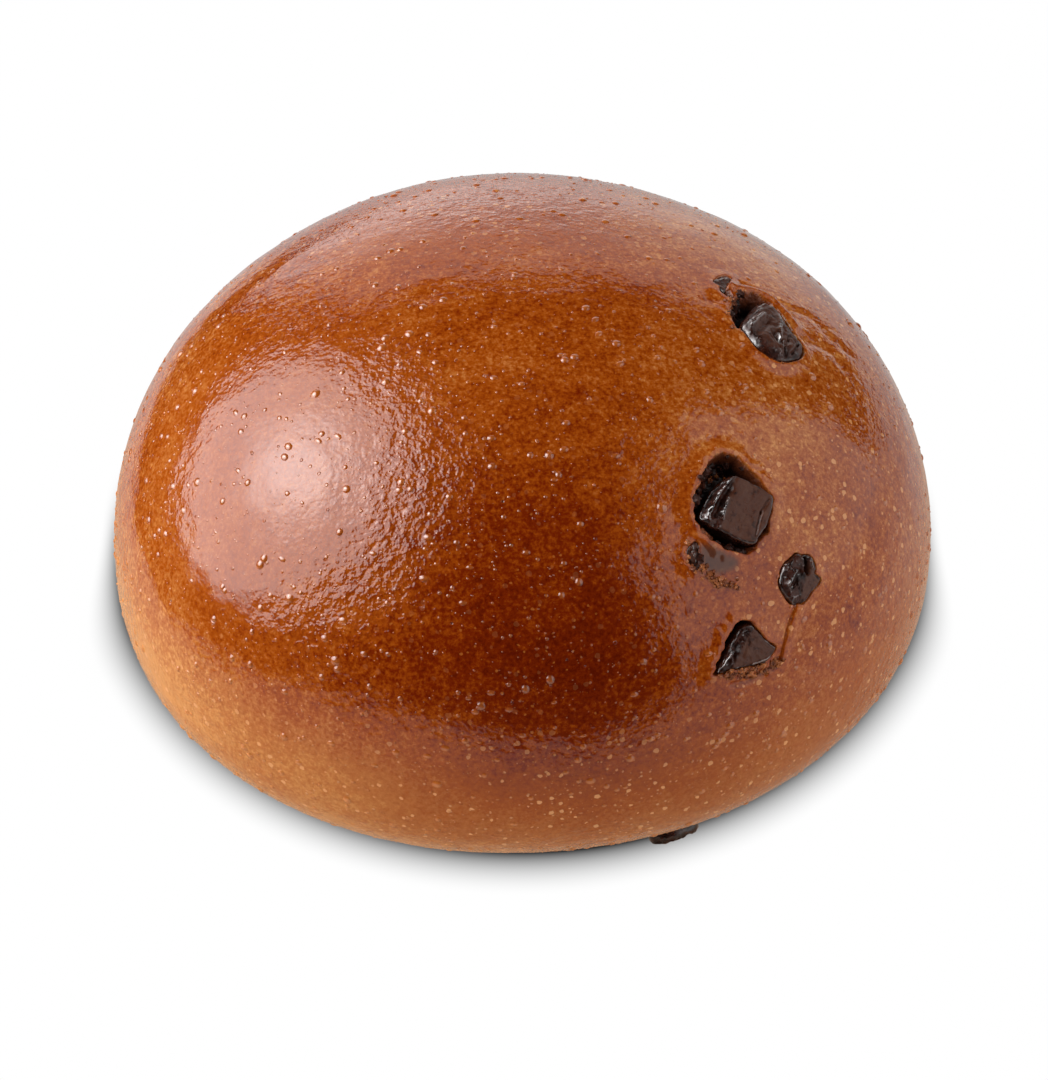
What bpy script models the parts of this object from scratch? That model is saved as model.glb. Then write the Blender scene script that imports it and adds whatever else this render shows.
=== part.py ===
"""A chocolate tea bun: a round, egg-washed bun with pieces of dark chocolate baked into its crust.

The bun stands on its flat underside, with +Z up and its origin in the middle of that flat.
Azimuths are in degrees from +X towards +Y, and latitudes in degrees above the widest ring.
Run with: blender --background --python part.py
"""

import math
from dataclasses import dataclass

import bmesh
import bpy
import numpy as np
from mathutils import Vector, noise

MM = 0.001

# The bun. It is a dome over a tucked-in underside, both superelliptic, cut flat where it stood on the tray.
BUN_RADIUS = 47.5 * MM
DOME_RISE = 38.5 * MM
BELLY_HEIGHT = 19.0 * MM
UNDERSIDE_DROP = 22.8 * MM
DOME_FULLNESS = 2.22
UNDERSIDE_FULLNESS = 2.3

# The bun isn't quite round in plan, and its dome leans a little, as dough proves unevenly.
OVAL_SHARE = 0.0225
OVAL_TURN = math.radians(3.4)
THREE_LOBE_SHARE = 0.008
THREE_LOBE_TURN = math.radians(-19.3)
LEAN_X = 0.010
LEAN_Y = -0.011
SWELL_HEIGHT = 0.25 * MM
SWELL_PITCH = 24 * MM

# Triangle sizes: a sphere of even triangles, then finer round each piece of chocolate.
SPHERE_SUBDIVISIONS = 5
FINE_EDGE = 1.3 * MM
FINE_MARGIN = 6.5 * MM
REFINING_ROUNDS = 2
SNAP_TO_TRAY = 0.12 * MM

# The crust rolls up in a low lip round each piece. Each sits in its own seat, with a hairline all round.
LIP_HEIGHT = 0.30 * MM
LIP_WIDTH = 1.4 * MM
SEAT_GAP = 0.35 * MM
OPEN_ABOVE = 3.5 * MM


@dataclass(frozen=True)
class Chocolate:
    """A piece of chocolate. outline is its edge in mm, seen along the crust's normal, x east and y north.

    top is how far its face stands over the crust in mm, and slope is how much that face rises per mm
    of x and of y. bevel is how far its rounded edge runs in, and depth how far it reaches into the bun.
    """

    name: str
    azimuth: float
    latitude: float
    outline: tuple
    top: float = 0.3
    slope: tuple = (0.0, 0.0)
    bevel: float = 0.6
    depth: float = 3.6


@dataclass(frozen=True)
class Opening:
    """A gap that the crust left as it drew back from a piece of chocolate, or tore. outline and depth are in mm."""

    azimuth: float
    latitude: float
    outline: tuple
    depth: float


CHOCOLATES = (
    # The cluster on the bun's front right shoulder.
    Chocolate(
        "chocolate_block", -49.6, 43.4,
        ((1.4, 3.7), (2.6, 3.0), (4.7, -0.1), (4.8, -0.8), (2.6, -3.0), (1.1, -3.5),
         (0.1, -4.3), (-0.8, -3.8), (-4.2, 0.5), (-4.2, 1.2), (-1.8, 2.8), (-0.3, 3.3)),
        top=0.55, slope=(0.06, -0.10), bevel=0.7, depth=4.2,
    ),
    Chocolate(
        "chocolate_sunken", -60.3, 39.7,
        ((0.8, 1.3), (1.1, 0.8), (0.8, 0.0), (0.3, -1.0), (-0.1, -1.5), (-0.5, -1.2), (-0.7, -0.2), (-0.5, 0.7)),
        top=0.15, bevel=0.3, depth=1.6,
    ),
    Chocolate(
        "chocolate_nib", -44.7, 28.6,
        ((1.4, 2.5), (-0.3, 2.5), (-1.6, 2.2), (-2.7, 1.1), (-2.6, 0.1), (-2.0, -1.9),
         (-1.1, -2.5), (-0.1, -2.8), (1.1, -2.1), (2.7, -1.5), (2.7, 0.0), (2.7, 1.2)),
        top=0.75, slope=(-0.02, 0.03), bevel=1.1,
    ),
    Chocolate(
        "chocolate_wedge", -56.4, 21.9,
        ((0.5, 2.7), (1.6, 2.3), (2.8, -0.3), (3.7, -1.1), (3.0, -1.8), (1.9, -2.4),
         (0.7, -2.3), (-1.4, -1.8), (-4.1, -1.7), (-3.5, -0.9), (-2.2, 0.3), (-1.0, 1.6)),
        top=0.30, slope=(0.05, -0.10), bevel=0.5, depth=3.4,
    ),
    # The long piece high on the right, and the crumb at the end of the tear above it.
    Chocolate(
        "chocolate_long", -6.1, 57.2,
        ((4.7, 1.6), (3.6, 2.5), (2.3, 2.8), (0.4, 3.6), (-0.7, 3.9), (-1.7, 3.6), (-3.7, 1.8), (-4.3, -0.5),
         (-4.0, -1.8), (-2.2, -3.8), (-0.8, -4.2), (0.4, -4.0), (1.9, -2.4), (4.8, -0.3)),
        top=1.0, slope=(-0.05, 0.04), bevel=1.6, depth=4.0,
    ),
    Chocolate(
        "chocolate_crumb", 8.3, 64.6,
        ((0.0, 1.2), (1.2, 0.2), (2.0, -1.0), (1.6, -1.7), (0.8, -1.3), (-0.7, -0.5), (-1.5, 0.0), (-0.8, 0.4)),
        top=0.05, bevel=0.3, depth=1.4,
    ),
    # The one that sticks out of the tucked-in foot, at the front.
    Chocolate(
        "chocolate_foot", -62.5, -37.5,
        ((3.1, 0.4), (2.3, 1.6), (0.3, 2.1), (-1.9, 1.8), (-3.2, 0.8), (-3.0, -0.9), (-1.2, -1.9), (1.4, -1.7),
         (2.7, -1.0)),
        top=1.9, bevel=0.9, depth=2.6,
    ),
    # The far side, which carries pieces of the same kinds about as far apart.
    Chocolate(
        "chocolate_back_1", 60.0, 24.0,
        ((3.3, 2.2), (2.4, 3.1), (-1.9, 3.4), (-3.2, 2.5), (-3.6, -1.9), (-2.7, -3.0), (1.6, -3.4), (2.9, -2.4)),
        top=0.5, slope=(-0.07, -0.05), bevel=0.7, depth=4.0,
    ),
    Chocolate(
        "chocolate_back_2", 83.0, 31.0,
        ((3.9, 0.6), (2.3, 1.6), (-0.6, 2.6), (-2.6, 2.4), (-3.1, 0.7), (-2.1, -2.2), (-0.9, -2.7), (1.9, -1.0)),
        top=0.4, slope=(0.04, 0.06), bevel=0.6,
    ),
    Chocolate(
        "chocolate_back_3", 97.0, 9.0,
        ((2.6, 2.0), (0.8, 3.0), (-1.3, 2.7), (-2.7, 1.0), (-2.8, -1.2), (-1.2, -2.9), (1.0, -2.8), (2.5, -1.1)),
        top=0.7, bevel=1.2,
    ),
    Chocolate(
        "chocolate_back_4", 141.0, 17.0,
        ((4.0, 1.9), (2.6, 3.1), (-0.6, 2.6), (-3.4, 1.2), (-4.2, -0.5), (-3.2, -2.2), (-0.3, -2.5), (2.9, -1.1)),
        top=0.8, slope=(0.03, -0.06), bevel=1.4, depth=3.8,
    ),
    Chocolate(
        "chocolate_back_5", 168.0, -27.0,
        ((2.7, 1.5), (1.3, 2.6), (-1.6, 2.3), (-2.8, 0.8), (-2.4, -1.7), (-0.8, -2.5), (1.7, -2.1), (2.8, -0.5)),
        top=0.5, bevel=0.9,
    ),
)

OPENINGS = (
    # Round the block, widest above it and to its left.
    Opening(
        -49.6, 43.4,
        ((2.0, 6.3), (3.3, 5.5), (4.0, 4.2), (4.7, 1.2), (5.2, -0.7), (2.7, -3.5), (1.0, -4.2), (-0.3, -4.9),
         (-1.6, -4.5), (-3.5, -2.8), (-4.8, -0.2), (-4.7, 1.8), (-3.5, 3.6), (-0.8, 5.6), (0.7, 6.3)),
        3.4,
    ),
    # Along the wedge's upper left side.
    Opening(
        -56.4, 21.9,
        ((0.8, 3.3), (1.8, 2.5), (1.0, 1.0), (-2.0, -0.6), (-4.0, -1.9), (-4.5, -1.3), (-2.7, 0.9), (-1.7, 2.3),
         (-0.4, 3.2)),
        2.8,
    ),
    # The hollow at the long piece's end.
    Opening(
        -6.1, 57.2,
        ((3.9, 4.9), (1.7, 5.3), (-0.5, 5.1), (-2.1, 3.6), (-1.5, 0.5), (3.5, -0.5), (5.6, 0.6), (5.7, 2.3),
         (5.2, 3.6)),
        3.2,
    ),
    # The tear from that hollow to the crumb.
    Opening(4.6, 64.1, ((0.8, 1.0), (0.9, 0.3), (-0.5, -1.1), (-1.5, -1.7), (-1.9, -0.9), (-0.9, 0.3), (0.2, 1.1)), 1.3),
    # On the far side.
    Opening(
        60.0, 24.0,
        ((3.9, 3.6), (0.2, 5.0), (-3.6, 4.0), (-4.5, 1.6), (-4.1, -2.0), (0.0, -1.0), (3.2, 0.6)),
        3.2,
    ),
    Opening(83.0, 31.0, ((1.4, -2.6), (-0.7, -3.7), (-2.5, -3.0), (-3.9, 0.6), (-1.5, 1.2), (1.6, -0.4)), 2.6),
    Opening(141.0, 17.0, ((4.9, 3.0), (2.6, 4.4), (-1.0, 3.6), (0.0, 0.4), (4.4, 0.4)), 3.0),
)


def crust_at(azimuth, latitude):
    """Points of the smooth crust, for arrays of azimuths and latitudes in radians."""
    up = latitude >= 0
    fullness = np.where(up, DOME_FULLNESS, UNDERSIDE_FULLNESS)
    radius = np.abs(np.cos(latitude)) ** (2 / fullness)
    rise = np.abs(np.sin(latitude)) ** (2 / fullness) * np.where(up, DOME_RISE, -UNDERSIDE_DROP)
    plan = 1 + OVAL_SHARE * np.cos(2 * (azimuth - OVAL_TURN))
    plan += THREE_LOBE_SHARE * np.cos(3 * (azimuth - THREE_LOBE_TURN))
    radius = BUN_RADIUS * radius * plan
    return np.stack(
        [radius * np.cos(azimuth) + LEAN_X * rise, radius * np.sin(azimuth) + LEAN_Y * rise, rise + BELLY_HEIGHT],
        axis=-1,
    )


def crust_normals(azimuth, latitude):
    """Outward normals of the smooth crust, from points a small step apart."""
    step = 1e-3
    latitude = np.clip(latitude, 2 * step - math.pi / 2, math.pi / 2 - 2 * step)
    east = crust_at(azimuth + step, latitude) - crust_at(azimuth - step, latitude)
    north = crust_at(azimuth, latitude + step) - crust_at(azimuth, latitude - step)
    normals = np.cross(east, north)
    return normals / np.linalg.norm(normals, axis=-1, keepdims=True)


def frame_at(place):
    """(point, 3x3 array) on the crust at a piece or an opening: columns point east, north and outwards."""
    angles = np.radians([place.azimuth]), np.radians([place.latitude])
    point, out = crust_at(*angles)[0], crust_normals(*angles)[0]
    east = np.cross((0, 0, 1), out)
    east /= np.linalg.norm(east)
    return point, np.stack([east, np.cross(out, east), out], axis=1)


def rounded(outline):
    """The outline in metres, anticlockwise, with each corner cut once so that no edge is knife-sharp."""
    corners = np.array(outline) * MM
    following = np.roll(corners, -1, axis=0)
    if np.sum(corners[:, 0] * following[:, 1] - corners[:, 1] * following[:, 0]) < 0:
        corners = corners[::-1]
        following = np.roll(corners, -1, axis=0)
    cut = np.stack([0.78 * corners + 0.22 * following, 0.22 * corners + 0.78 * following], axis=1)
    return cut.reshape(-1, 2)


def grown(ring, distance):
    """The ring moved outwards by a distance, along the middle way between its sides' normals."""
    along = np.roll(ring, -1, axis=0) - np.roll(ring, 1, axis=0)
    along /= np.linalg.norm(along, axis=1, keepdims=True)
    return ring + distance * np.stack([along[:, 1], -along[:, 0]], axis=1)


def drawn_in(ring, distance):
    """The ring with each point moved towards the middle by a distance."""
    reach = np.linalg.norm(ring, axis=1, keepdims=True)
    return ring * (1 - np.minimum(distance / reach, 0.6))


def edge_distance(points, outline):
    """How far each 2D point is from the outline."""
    ring = rounded(outline)
    nearest = np.full(len(points), np.inf)
    for start, end in zip(ring, np.roll(ring, -1, axis=0)):
        side = end - start
        along = ((points - start) @ side / (side @ side)).clip(0, 1)
        nearest = np.minimum(nearest, np.linalg.norm(points - start - along[:, None] * side, axis=1))
    return nearest


def swells(points):
    """Slow rises and hollows of the dome, fading out towards the tray."""
    heights = np.array([noise.noise(Vector(p) / SWELL_PITCH) for p in points])
    return SWELL_HEIGHT * heights * np.clip(points[:, 2] / BELLY_HEIGHT, 0, 1)


def lips(points):
    """The low roll of crust round the pieces and openings."""
    height = np.zeros(len(points))
    for place in (*CHOCOLATES, *OPENINGS):
        centre, axes = frame_at(place)
        near = np.linalg.norm(points - centre, axis=1) < 12 * MM
        across = (points[near] - centre) @ axes
        lip = LIP_HEIGHT * np.exp(-((edge_distance(across[:, :2], place.outline) / LIP_WIDTH) ** 2))
        height[near] = np.maximum(height[near], lip)
    return height * np.clip(points[:, 2] / (6 * MM), 0, 1)


def shaped_crust(directions):
    """Where the points of a unit sphere go on the crust."""
    azimuth = np.arctan2(directions[:, 1], directions[:, 0])
    latitude = np.arcsin(directions[:, 2].clip(-1, 1))
    points = crust_at(azimuth, latitude)
    return points + (swells(points) + lips(points))[:, None] * crust_normals(azimuth, latitude)


def refine_near_chocolate(bm):
    """Halves the sphere's edges near the chocolate, until they are short enough to carry the lips."""
    centres = [frame_at(place)[0] for place in CHOCOLATES]
    for _ in range(REFINING_ROUNDS):
        middles = np.array([(e.verts[0].co + e.verts[1].co).normalized() for e in bm.edges])
        middles = crust_at(np.arctan2(middles[:, 1], middles[:, 0]), np.arcsin(middles[:, 2].clip(-1, 1)))
        near = np.zeros(len(middles), bool)
        for centre in centres:
            near |= np.linalg.norm(middles - centre, axis=1) < FINE_MARGIN
        long = np.array([e.calc_length() for e in bm.edges]) * BUN_RADIUS > FINE_EDGE
        chosen = [edge for edge, wanted in zip(bm.edges, near & long) if wanted]
        bmesh.ops.subdivide_edges(bm, edges=chosen, cuts=1)
        bmesh.ops.triangulate(bm, faces=bm.faces)
        for vert in bm.verts:
            vert.co.normalize()


def cut_flat_underneath(bm):
    """Cuts the bun level at the tray and closes it with a flat face."""
    for vert in bm.verts:
        if abs(vert.co.z) < SNAP_TO_TRAY:
            vert.co.z = 0
    geometry = [*bm.verts, *bm.edges, *bm.faces]
    cut = bmesh.ops.bisect_plane(bm, geom=geometry, dist=1e-7, plane_co=(0, 0, 0), plane_no=(0, 0, -1), clear_outer=True)
    rim = [part for part in cut["geom_cut"] if isinstance(part, bmesh.types.BMEdge)]
    bmesh.ops.contextual_create(bm, geom=rim)
    bmesh.ops.triangulate(bm, faces=[face for face in bm.faces if len(face.verts) > 3])


def loft(levels, place):
    """A closed body through rings of equal length, given from the bottom up as (ring, heights), at a place."""
    centre, axes = frame_at(place)
    bm = bmesh.new()
    rings = []
    for ring, heights in levels:
        flat = np.column_stack([ring, np.broadcast_to(heights, len(ring))])
        rings.append([bm.verts.new(centre + axes @ point) for point in flat])
    for lower, upper in zip(rings, rings[1:]):
        for i in range(len(lower)):
            j = (i + 1) % len(lower)
            bm.faces.new([lower[i], lower[j], upper[j], upper[i]])
    for ring in (rings[0], rings[-1]):
        middle = bm.verts.new(sum((vert.co for vert in ring), Vector()) / len(ring))
        for i in range(len(ring)):
            bm.faces.new([ring[i], ring[(i + 1) % len(ring)], middle])
    bmesh.ops.recalc_face_normals(bm, faces=bm.faces)
    bmesh.ops.triangulate(bm, faces=bm.faces)
    return bm


def material(name, colour, roughness, coat):
    made = bpy.data.materials.new(name)
    made.use_nodes = True
    shader = made.node_tree.nodes["Principled BSDF"]
    shader.inputs["Base Color"].default_value = (*colour, 1)
    shader.inputs["Roughness"].default_value = roughness
    shader.inputs["Metallic"].default_value = 0
    shader.inputs["Coat Weight"].default_value = coat
    return made


def add_object(name, bm, surface, collection):
    mesh = bpy.data.meshes.new(name)
    bm.to_mesh(mesh)
    bm.free()
    mesh.shade_smooth()
    mesh.materials.append(surface)
    made = bpy.data.objects.new(name, mesh)
    collection.objects.link(made)
    return made


def make_bun(surface, collection):
    """The bread itself: one solid, before its openings are cut."""
    bm = bmesh.new()
    bmesh.ops.create_icosphere(bm, subdivisions=SPHERE_SUBDIVISIONS, radius=1)
    refine_near_chocolate(bm)
    placed = shaped_crust(np.array([vert.co for vert in bm.verts]))
    for vert, point in zip(bm.verts, placed):
        vert.co = point
    cut_flat_underneath(bm)
    bmesh.ops.recalc_face_normals(bm, faces=bm.faces)
    return add_object("bun", bm, surface, collection)


def make_chocolate(piece, surface, collection):
    """A broken piece with a rounded edge round its face."""
    edge = rounded(piece.outline)
    face = drawn_in(edge, piece.bevel * MM)
    middle = drawn_in(edge, 0.35 * piece.bevel * MM)

    def heights(ring, below):
        return (piece.top - below) * MM + ring @ np.array(piece.slope)

    levels = [
        (0.70 * edge, -piece.depth * MM),
        (0.95 * edge, -0.6 * piece.depth * MM),
        (edge, heights(edge, piece.bevel)),
        (middle, heights(middle, 0.3 * piece.bevel)),
        (face, heights(face, 0)),
    ]
    return add_object(piece.name, loft(levels, piece), surface, collection)


def cut_seat(piece, collection):
    """What is cut out of the bun for a piece of chocolate: its own outline, grown by the hairline gap."""
    edge = grown(rounded(piece.outline), SEAT_GAP)
    below = piece.depth * MM + SEAT_GAP
    levels = [(0.75 * edge, -below), (edge, -0.6 * below), (edge, OPEN_ABOVE)]
    return add_object("seat_of_" + piece.name, loft(levels, piece), None, collection)


def cut_opening(place, index, collection):
    edge = rounded(place.outline)
    middle = edge.mean(axis=0)
    floor = middle + 0.72 * (edge - middle)
    below = place.depth * MM
    levels = [(floor, -below), (edge, -0.45 * below), (edge, OPEN_ABOVE)]
    return add_object(f"opening_{index}", loft(levels, place), None, collection)


def main():
    for obj in list(bpy.data.objects):
        bpy.data.objects.remove(obj, do_unlink=True)
    scene_collection = bpy.context.scene.collection
    cutters = bpy.data.collections.new("cutters")
    scene_collection.children.link(cutters)

    crust = material("egg_washed_crust", (0.40, 0.10, 0.018), 0.28, 0.6)
    chocolate = material("dark_chocolate", (0.022, 0.009, 0.006), 0.38, 0.0)

    bun = make_bun(crust, scene_collection)
    for piece in CHOCOLATES:
        make_chocolate(piece, chocolate, scene_collection)
        cut_seat(piece, cutters)
    for index, place in enumerate(OPENINGS):
        cut_opening(place, index, cutters)
    for cutter in cutters.objects:
        cutter.hide_render = True
        cutter.display_type = "WIRE"
    cut = bun.modifiers.new("seats_and_openings", "BOOLEAN")
    cut.operation = "DIFFERENCE"
    cut.operand_type = "COLLECTION"
    cut.collection = cutters
    cut.solver = "EXACT"


main()
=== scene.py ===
"""Looks for a chocolate tea bun: the egg-washed crust with its blisters, and the pieces of dark
chocolate that it baked round.

Each section makes one piece or group of like pieces, in the order in which the bun is made. Lengths
are in metres unless a name or a comment says mm.
"""

import math

import bmesh
import bpy
import numpy as np
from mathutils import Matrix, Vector, noise
from mathutils.bvhtree import BVHTree


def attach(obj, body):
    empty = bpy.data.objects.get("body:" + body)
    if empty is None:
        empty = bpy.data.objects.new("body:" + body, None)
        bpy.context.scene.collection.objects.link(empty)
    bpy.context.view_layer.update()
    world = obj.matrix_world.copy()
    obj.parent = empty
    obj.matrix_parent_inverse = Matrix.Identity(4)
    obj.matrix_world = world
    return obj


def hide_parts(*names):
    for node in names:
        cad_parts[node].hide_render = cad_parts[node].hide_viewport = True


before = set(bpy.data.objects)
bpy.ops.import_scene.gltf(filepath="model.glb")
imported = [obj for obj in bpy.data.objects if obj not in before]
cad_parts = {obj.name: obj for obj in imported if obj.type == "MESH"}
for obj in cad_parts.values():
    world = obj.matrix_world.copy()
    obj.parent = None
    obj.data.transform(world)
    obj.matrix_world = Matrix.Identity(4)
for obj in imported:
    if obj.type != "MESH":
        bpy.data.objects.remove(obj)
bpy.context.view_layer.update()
MM = 0.001


# The camera. The photograph looks down on the bun from a little over forty degrees, through a long
# lens, so that the far side is drawn almost as large as the near one.
LENS_MM = 110
LOOKING_DOWN = math.radians(42)
CAMERA_DISTANCE = 0.397
LOOKED_AT = Vector((0.00041, 0.0, 0.01769))

back = Vector((0, -math.cos(LOOKING_DOWN), math.sin(LOOKING_DOWN)))
camera = bpy.data.objects.new("camera", bpy.data.cameras.new("camera"))
camera.data.lens = LENS_MM
camera.data.sensor_width = 36
camera.data.clip_start = 0.01
camera.location = LOOKED_AT + CAMERA_DISTANCE * back
camera.rotation_euler = (math.pi / 2 - LOOKING_DOWN, 0, 0)
bpy.context.scene.collection.objects.link(camera)
bpy.context.scene.camera = camera
bpy.context.scene.view_settings.view_transform = "Standard"


# The table. A white sweep lies under the bun, and the crust mirrors only the table's own top, whose
# front edge runs slantwise close before the bun, so both are laid as sheets.
TABLE_CORNERS = (
    (-0.100, 0.62), (-0.104, -0.005), (-0.112, -0.035), (-0.118, -0.071), (-0.126, -0.176),
    (-0.066, -0.180), (-0.001, -0.131), (0.028, -0.102), (0.062, -0.122), (0.100, -0.150),
    (0.150, -0.215), (0.55, -0.60), (0.55, 0.62),
)
SWEEP_HALF = 3.0
SWEEP_WHITE = "#F2F2F2"
# The table's shadow is painted: an oval under the bun and a little behind it. Its soft edge starts at the
# rim and, as a share of the oval's radius, is broad in front and thin at the sides.
SHADOW_MIDDLE = (0.0, 26.5 * MM)
SHADOW_RADII = (53.0 * MM, 61.2 * MM)
SHADOW_RIM = 0.994
SHADOW_EDGE, SHADOW_SIDE_EDGE = 0.112, 0.030
SHADOW_FALL = 1.8
# Behind the bun's middle a soft painted shadow lies round its foot, and fades between these distances from
# it.
FOOT_SHADOW = (30 * MM, 55 * MM)
# How bright the table glows in the gloss: near the bun, where it is dimmed as painted shade and warmed as
# painted light from the crust, and far off.
TABLE_IN_GLOSS, FAR_TABLE_IN_GLOSS = 0.60, 1.0
WARMED_BY_CRUST = "#FFDCC0"


def linear(colour):
    """An sRGB hex colour as linear RGBA."""
    channels = [int(colour[i : i + 2], 16) / 255 for i in (1, 3, 5)]
    return (*[c / 12.92 if c <= 0.04045 else ((c + 0.055) / 1.055) ** 2.4 for c in channels], 1)


def add_node(tree, kind, settings=None, **links):
    """Adds a node. settings sets its properties, and links its inputs, by value or from a socket.

    An input's name is written with underscores for spaces, and __2 after it for the second of that name.
    """
    node = tree.nodes.new(kind)
    for name, value in (settings or {}).items():
        setattr(node, name, value)
    for name, value in links.items():
        wanted, _, number = name.partition("__")
        matching = [s for s in node.inputs if s.enabled and s.name.replace(" ", "_") == wanted]
        socket = matching[int(number or 1) - 1]
        if isinstance(value, bpy.types.NodeSocket):
            tree.links.new(value, socket)
        else:
            socket.default_value = value
    return node


def new_material(name):
    made = bpy.data.materials.new(name)
    made.use_nodes = True
    made.node_tree.nodes.clear()
    return made


def stage_sheet(name, corners, surface):
    mesh = bpy.data.meshes.new(name)
    mesh.from_pydata([tuple(corner) for corner in corners], [], [tuple(range(len(corners)))])
    mesh.materials.append(surface)
    made = bpy.data.objects.new(name, mesh)
    bpy.context.scene.collection.objects.link(made)
    return made


def fade(tree, value, start, end, low, high):
    """value carried smoothly from low, at start, to high, at end."""
    ends = {"From_Min": start, "From_Max": end, "To_Min": low, "To_Max": high}
    settings = {"interpolation_type": "SMOOTHSTEP"}
    return add_node(tree, "ShaderNodeMapRange", settings, Value=value, **ends).outputs[0]


def result(node):
    """The output of a node that has only one in use."""
    return next(socket for socket in node.outputs if socket.enabled)


def calculate(tree, operation, first, *others):
    """The values joined one after another, as in first + second + third."""
    settings = {"operation": operation}
    for other in others:
        first = result(add_node(tree, "ShaderNodeMath", settings, Value=first, Value__2=other))
    return first


def blend_colour(tree, share, first, second):
    return result(add_node(tree, "ShaderNodeMix", {"data_type": "RGBA"}, Factor=share, A=first, B=second))


sweep_white = new_material("white studio sweep")
tree = sweep_white.node_tree
ray = add_node(tree, "ShaderNodeLightPath")
matt = add_node(tree, "ShaderNodeBsdfDiffuse", Color=linear(SWEEP_WHITE))
place = add_node(tree, "ShaderNodeTexCoord").outputs["Object"]
sideways, backward, _ = add_node(tree, "ShaderNodeSeparateXYZ", Vector=place).outputs
laid = {"Location": (*SHADOW_MIDDLE, 0), "Scale": (*SHADOW_RADII, 1)}
oval = add_node(tree, "ShaderNodeMapping", {"vector_type": "TEXTURE"}, Vector=place, **laid)
outward = result(add_node(tree, "ShaderNodeVectorMath", {"operation": "LENGTH"}, Vector=oval.outputs[0]))
past_rim = calculate(tree, "SUBTRACT", outward, SHADOW_RIM)
edge = fade(tree, backward, -4 * MM, 23 * MM, SHADOW_EDGE, SHADOW_SIDE_EDGE)
settings = {"operation": "DIVIDE", "use_clamp": True}
past_edge = result(add_node(tree, "ShaderNodeMath", settings, Value=past_rim, Value__2=edge))
shade = calculate(tree, "POWER", calculate(tree, "SUBTRACT", 1.0, past_edge), SHADOW_FALL)
from_bun = result(add_node(tree, "ShaderNodeVectorMath", {"operation": "LENGTH"}, Vector=place))
behind = fade(tree, backward, -10 * MM, 14 * MM, 0.0, 1.0)
hollowed = calculate(tree, "MULTIPLY", behind, fade(tree, outward, 0.72, 0.985, 1.0, 0.0))
left = calculate(tree, "SUBTRACT", 1.0, hollowed)
shade = calculate(tree, "MULTIPLY", shade, left, fade(tree, backward, 2 * MM, 36 * MM, 1.0, 0.0))
round_foot = calculate(tree, "MULTIPLY", behind, fade(tree, from_bun, *FOOT_SHADOW, 0.8, 0.0))
unshaded = calculate(tree, "SUBTRACT", 1.0, calculate(tree, "MAXIMUM", shade, round_foot))
# What the camera sees of the table is an even white glow with the painted shadow laid on it.
paper_with_painted_shadow = add_node(tree, "ShaderNodeEmission", Strength=unshaded)
# The table's top, as the gloss sees it, glows: dimmed near the bun as painted shade, tinted warm there as
# painted light from the crust, and dimmer far to the right.
strength = fade(tree, from_bun, 130 * MM, 400 * MM, TABLE_IN_GLOSS, FAR_TABLE_IN_GLOSS)
dimmer = ((from_bun, 46 * MM, 60 * MM, 0.8, 1.0), (sideways, 100 * MM, 300 * MM, 1.0, 0.75))
for value, start, end, low, high in dimmer:
    strength = calculate(tree, "MULTIPLY", strength, fade(tree, value, start, end, low, high))
warmed = fade(tree, from_bun, 55 * MM, 105 * MM, 1.0, 0.0)
tint = blend_colour(tree, warmed, (1, 1, 1, 1), linear(WARMED_BY_CRUST))
mirrored = add_node(tree, "ShaderNodeEmission", Color=tint, Strength=strength)
surface = matt
for kind, seen_as in (("Is Glossy Ray", mirrored), ("Is Camera Ray", paper_with_painted_shadow)):
    shaders = {"Shader": surface.outputs[0], "Shader__2": seen_as.outputs[0]}
    surface = add_node(tree, "ShaderNodeMixShader", Fac=ray.outputs[kind], **shaders)
add_node(tree, "ShaderNodeOutputMaterial", Surface=surface.outputs[0])

corners = [(x * SWEEP_HALF, y * SWEEP_HALF, -0.5 * MM) for x, y in ((-1, -1), (1, -1), (1, 1), (-1, 1))]
sweep = stage_sheet("sweep", corners, sweep_white)
sweep.visible_glossy = False
stage_sheet("table_top", [(x, y, -0.2 * MM) for x, y in TABLE_CORNERS], sweep_white)


# The lights. One large round soft box stands to the left, hot in its middle; a white card stands to the
# right and another behind. The rest of the studio is dark, which leaves the crust deep brown. Each panel
# is hung twice: what the gloss mirrors is much brighter than what lights the bread.
SOFT_BOX_TOWARDS = (-90, 36.5)
SOFT_BOX_HOT_TOWARDS = (-86, 43)
SOFT_BOX_DISTANCE = 0.62
SOFT_BOX_RADIUS = 0.505
SOFT_BOX_RIM = 0.13
SOFT_BOX_IN_GLOSS = 4.3
SOFT_BOX_HOT_IN_GLOSS = 6.6
SOFT_BOX_HOT_RADIUS = 0.13
SOFT_BOX_ON_BREAD = 3.35
CARD_IN_GLOSS = 1.0
CARD_ON_BREAD = 1.4
BACK_CARD_IN_GLOSS = 0.88
BACK_CARD_HOT_IN_GLOSS = 1.1
BACK_CARD_HOT_AT = Vector((-0.1, 0.6, 0.0))
BACK_CARD_HOT_RADIUS = 0.16
BACK_CARD_ON_BREAD = 0.6
ROOM_ON_BREAD = 0.06
ROOM_IN_GLOSS = 0.008


def compass(azimuth, elevation):
    """A direction, in degrees clockwise from straight behind the bun and up from level."""
    a, e = math.radians(azimuth), math.radians(elevation)
    return Vector((math.sin(a) * math.cos(e), math.cos(a) * math.cos(e), math.sin(e)))


def distance_from(tree, spot):
    """How far the shaded point is from a spot, in the piece's own coordinates."""
    place = add_node(tree, "ShaderNodeTexCoord").outputs["Object"]
    apart = add_node(tree, "ShaderNodeVectorMath", {"operation": "DISTANCE"}, Vector=place, Vector__2=spot)
    return apart.outputs["Value"]


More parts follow.
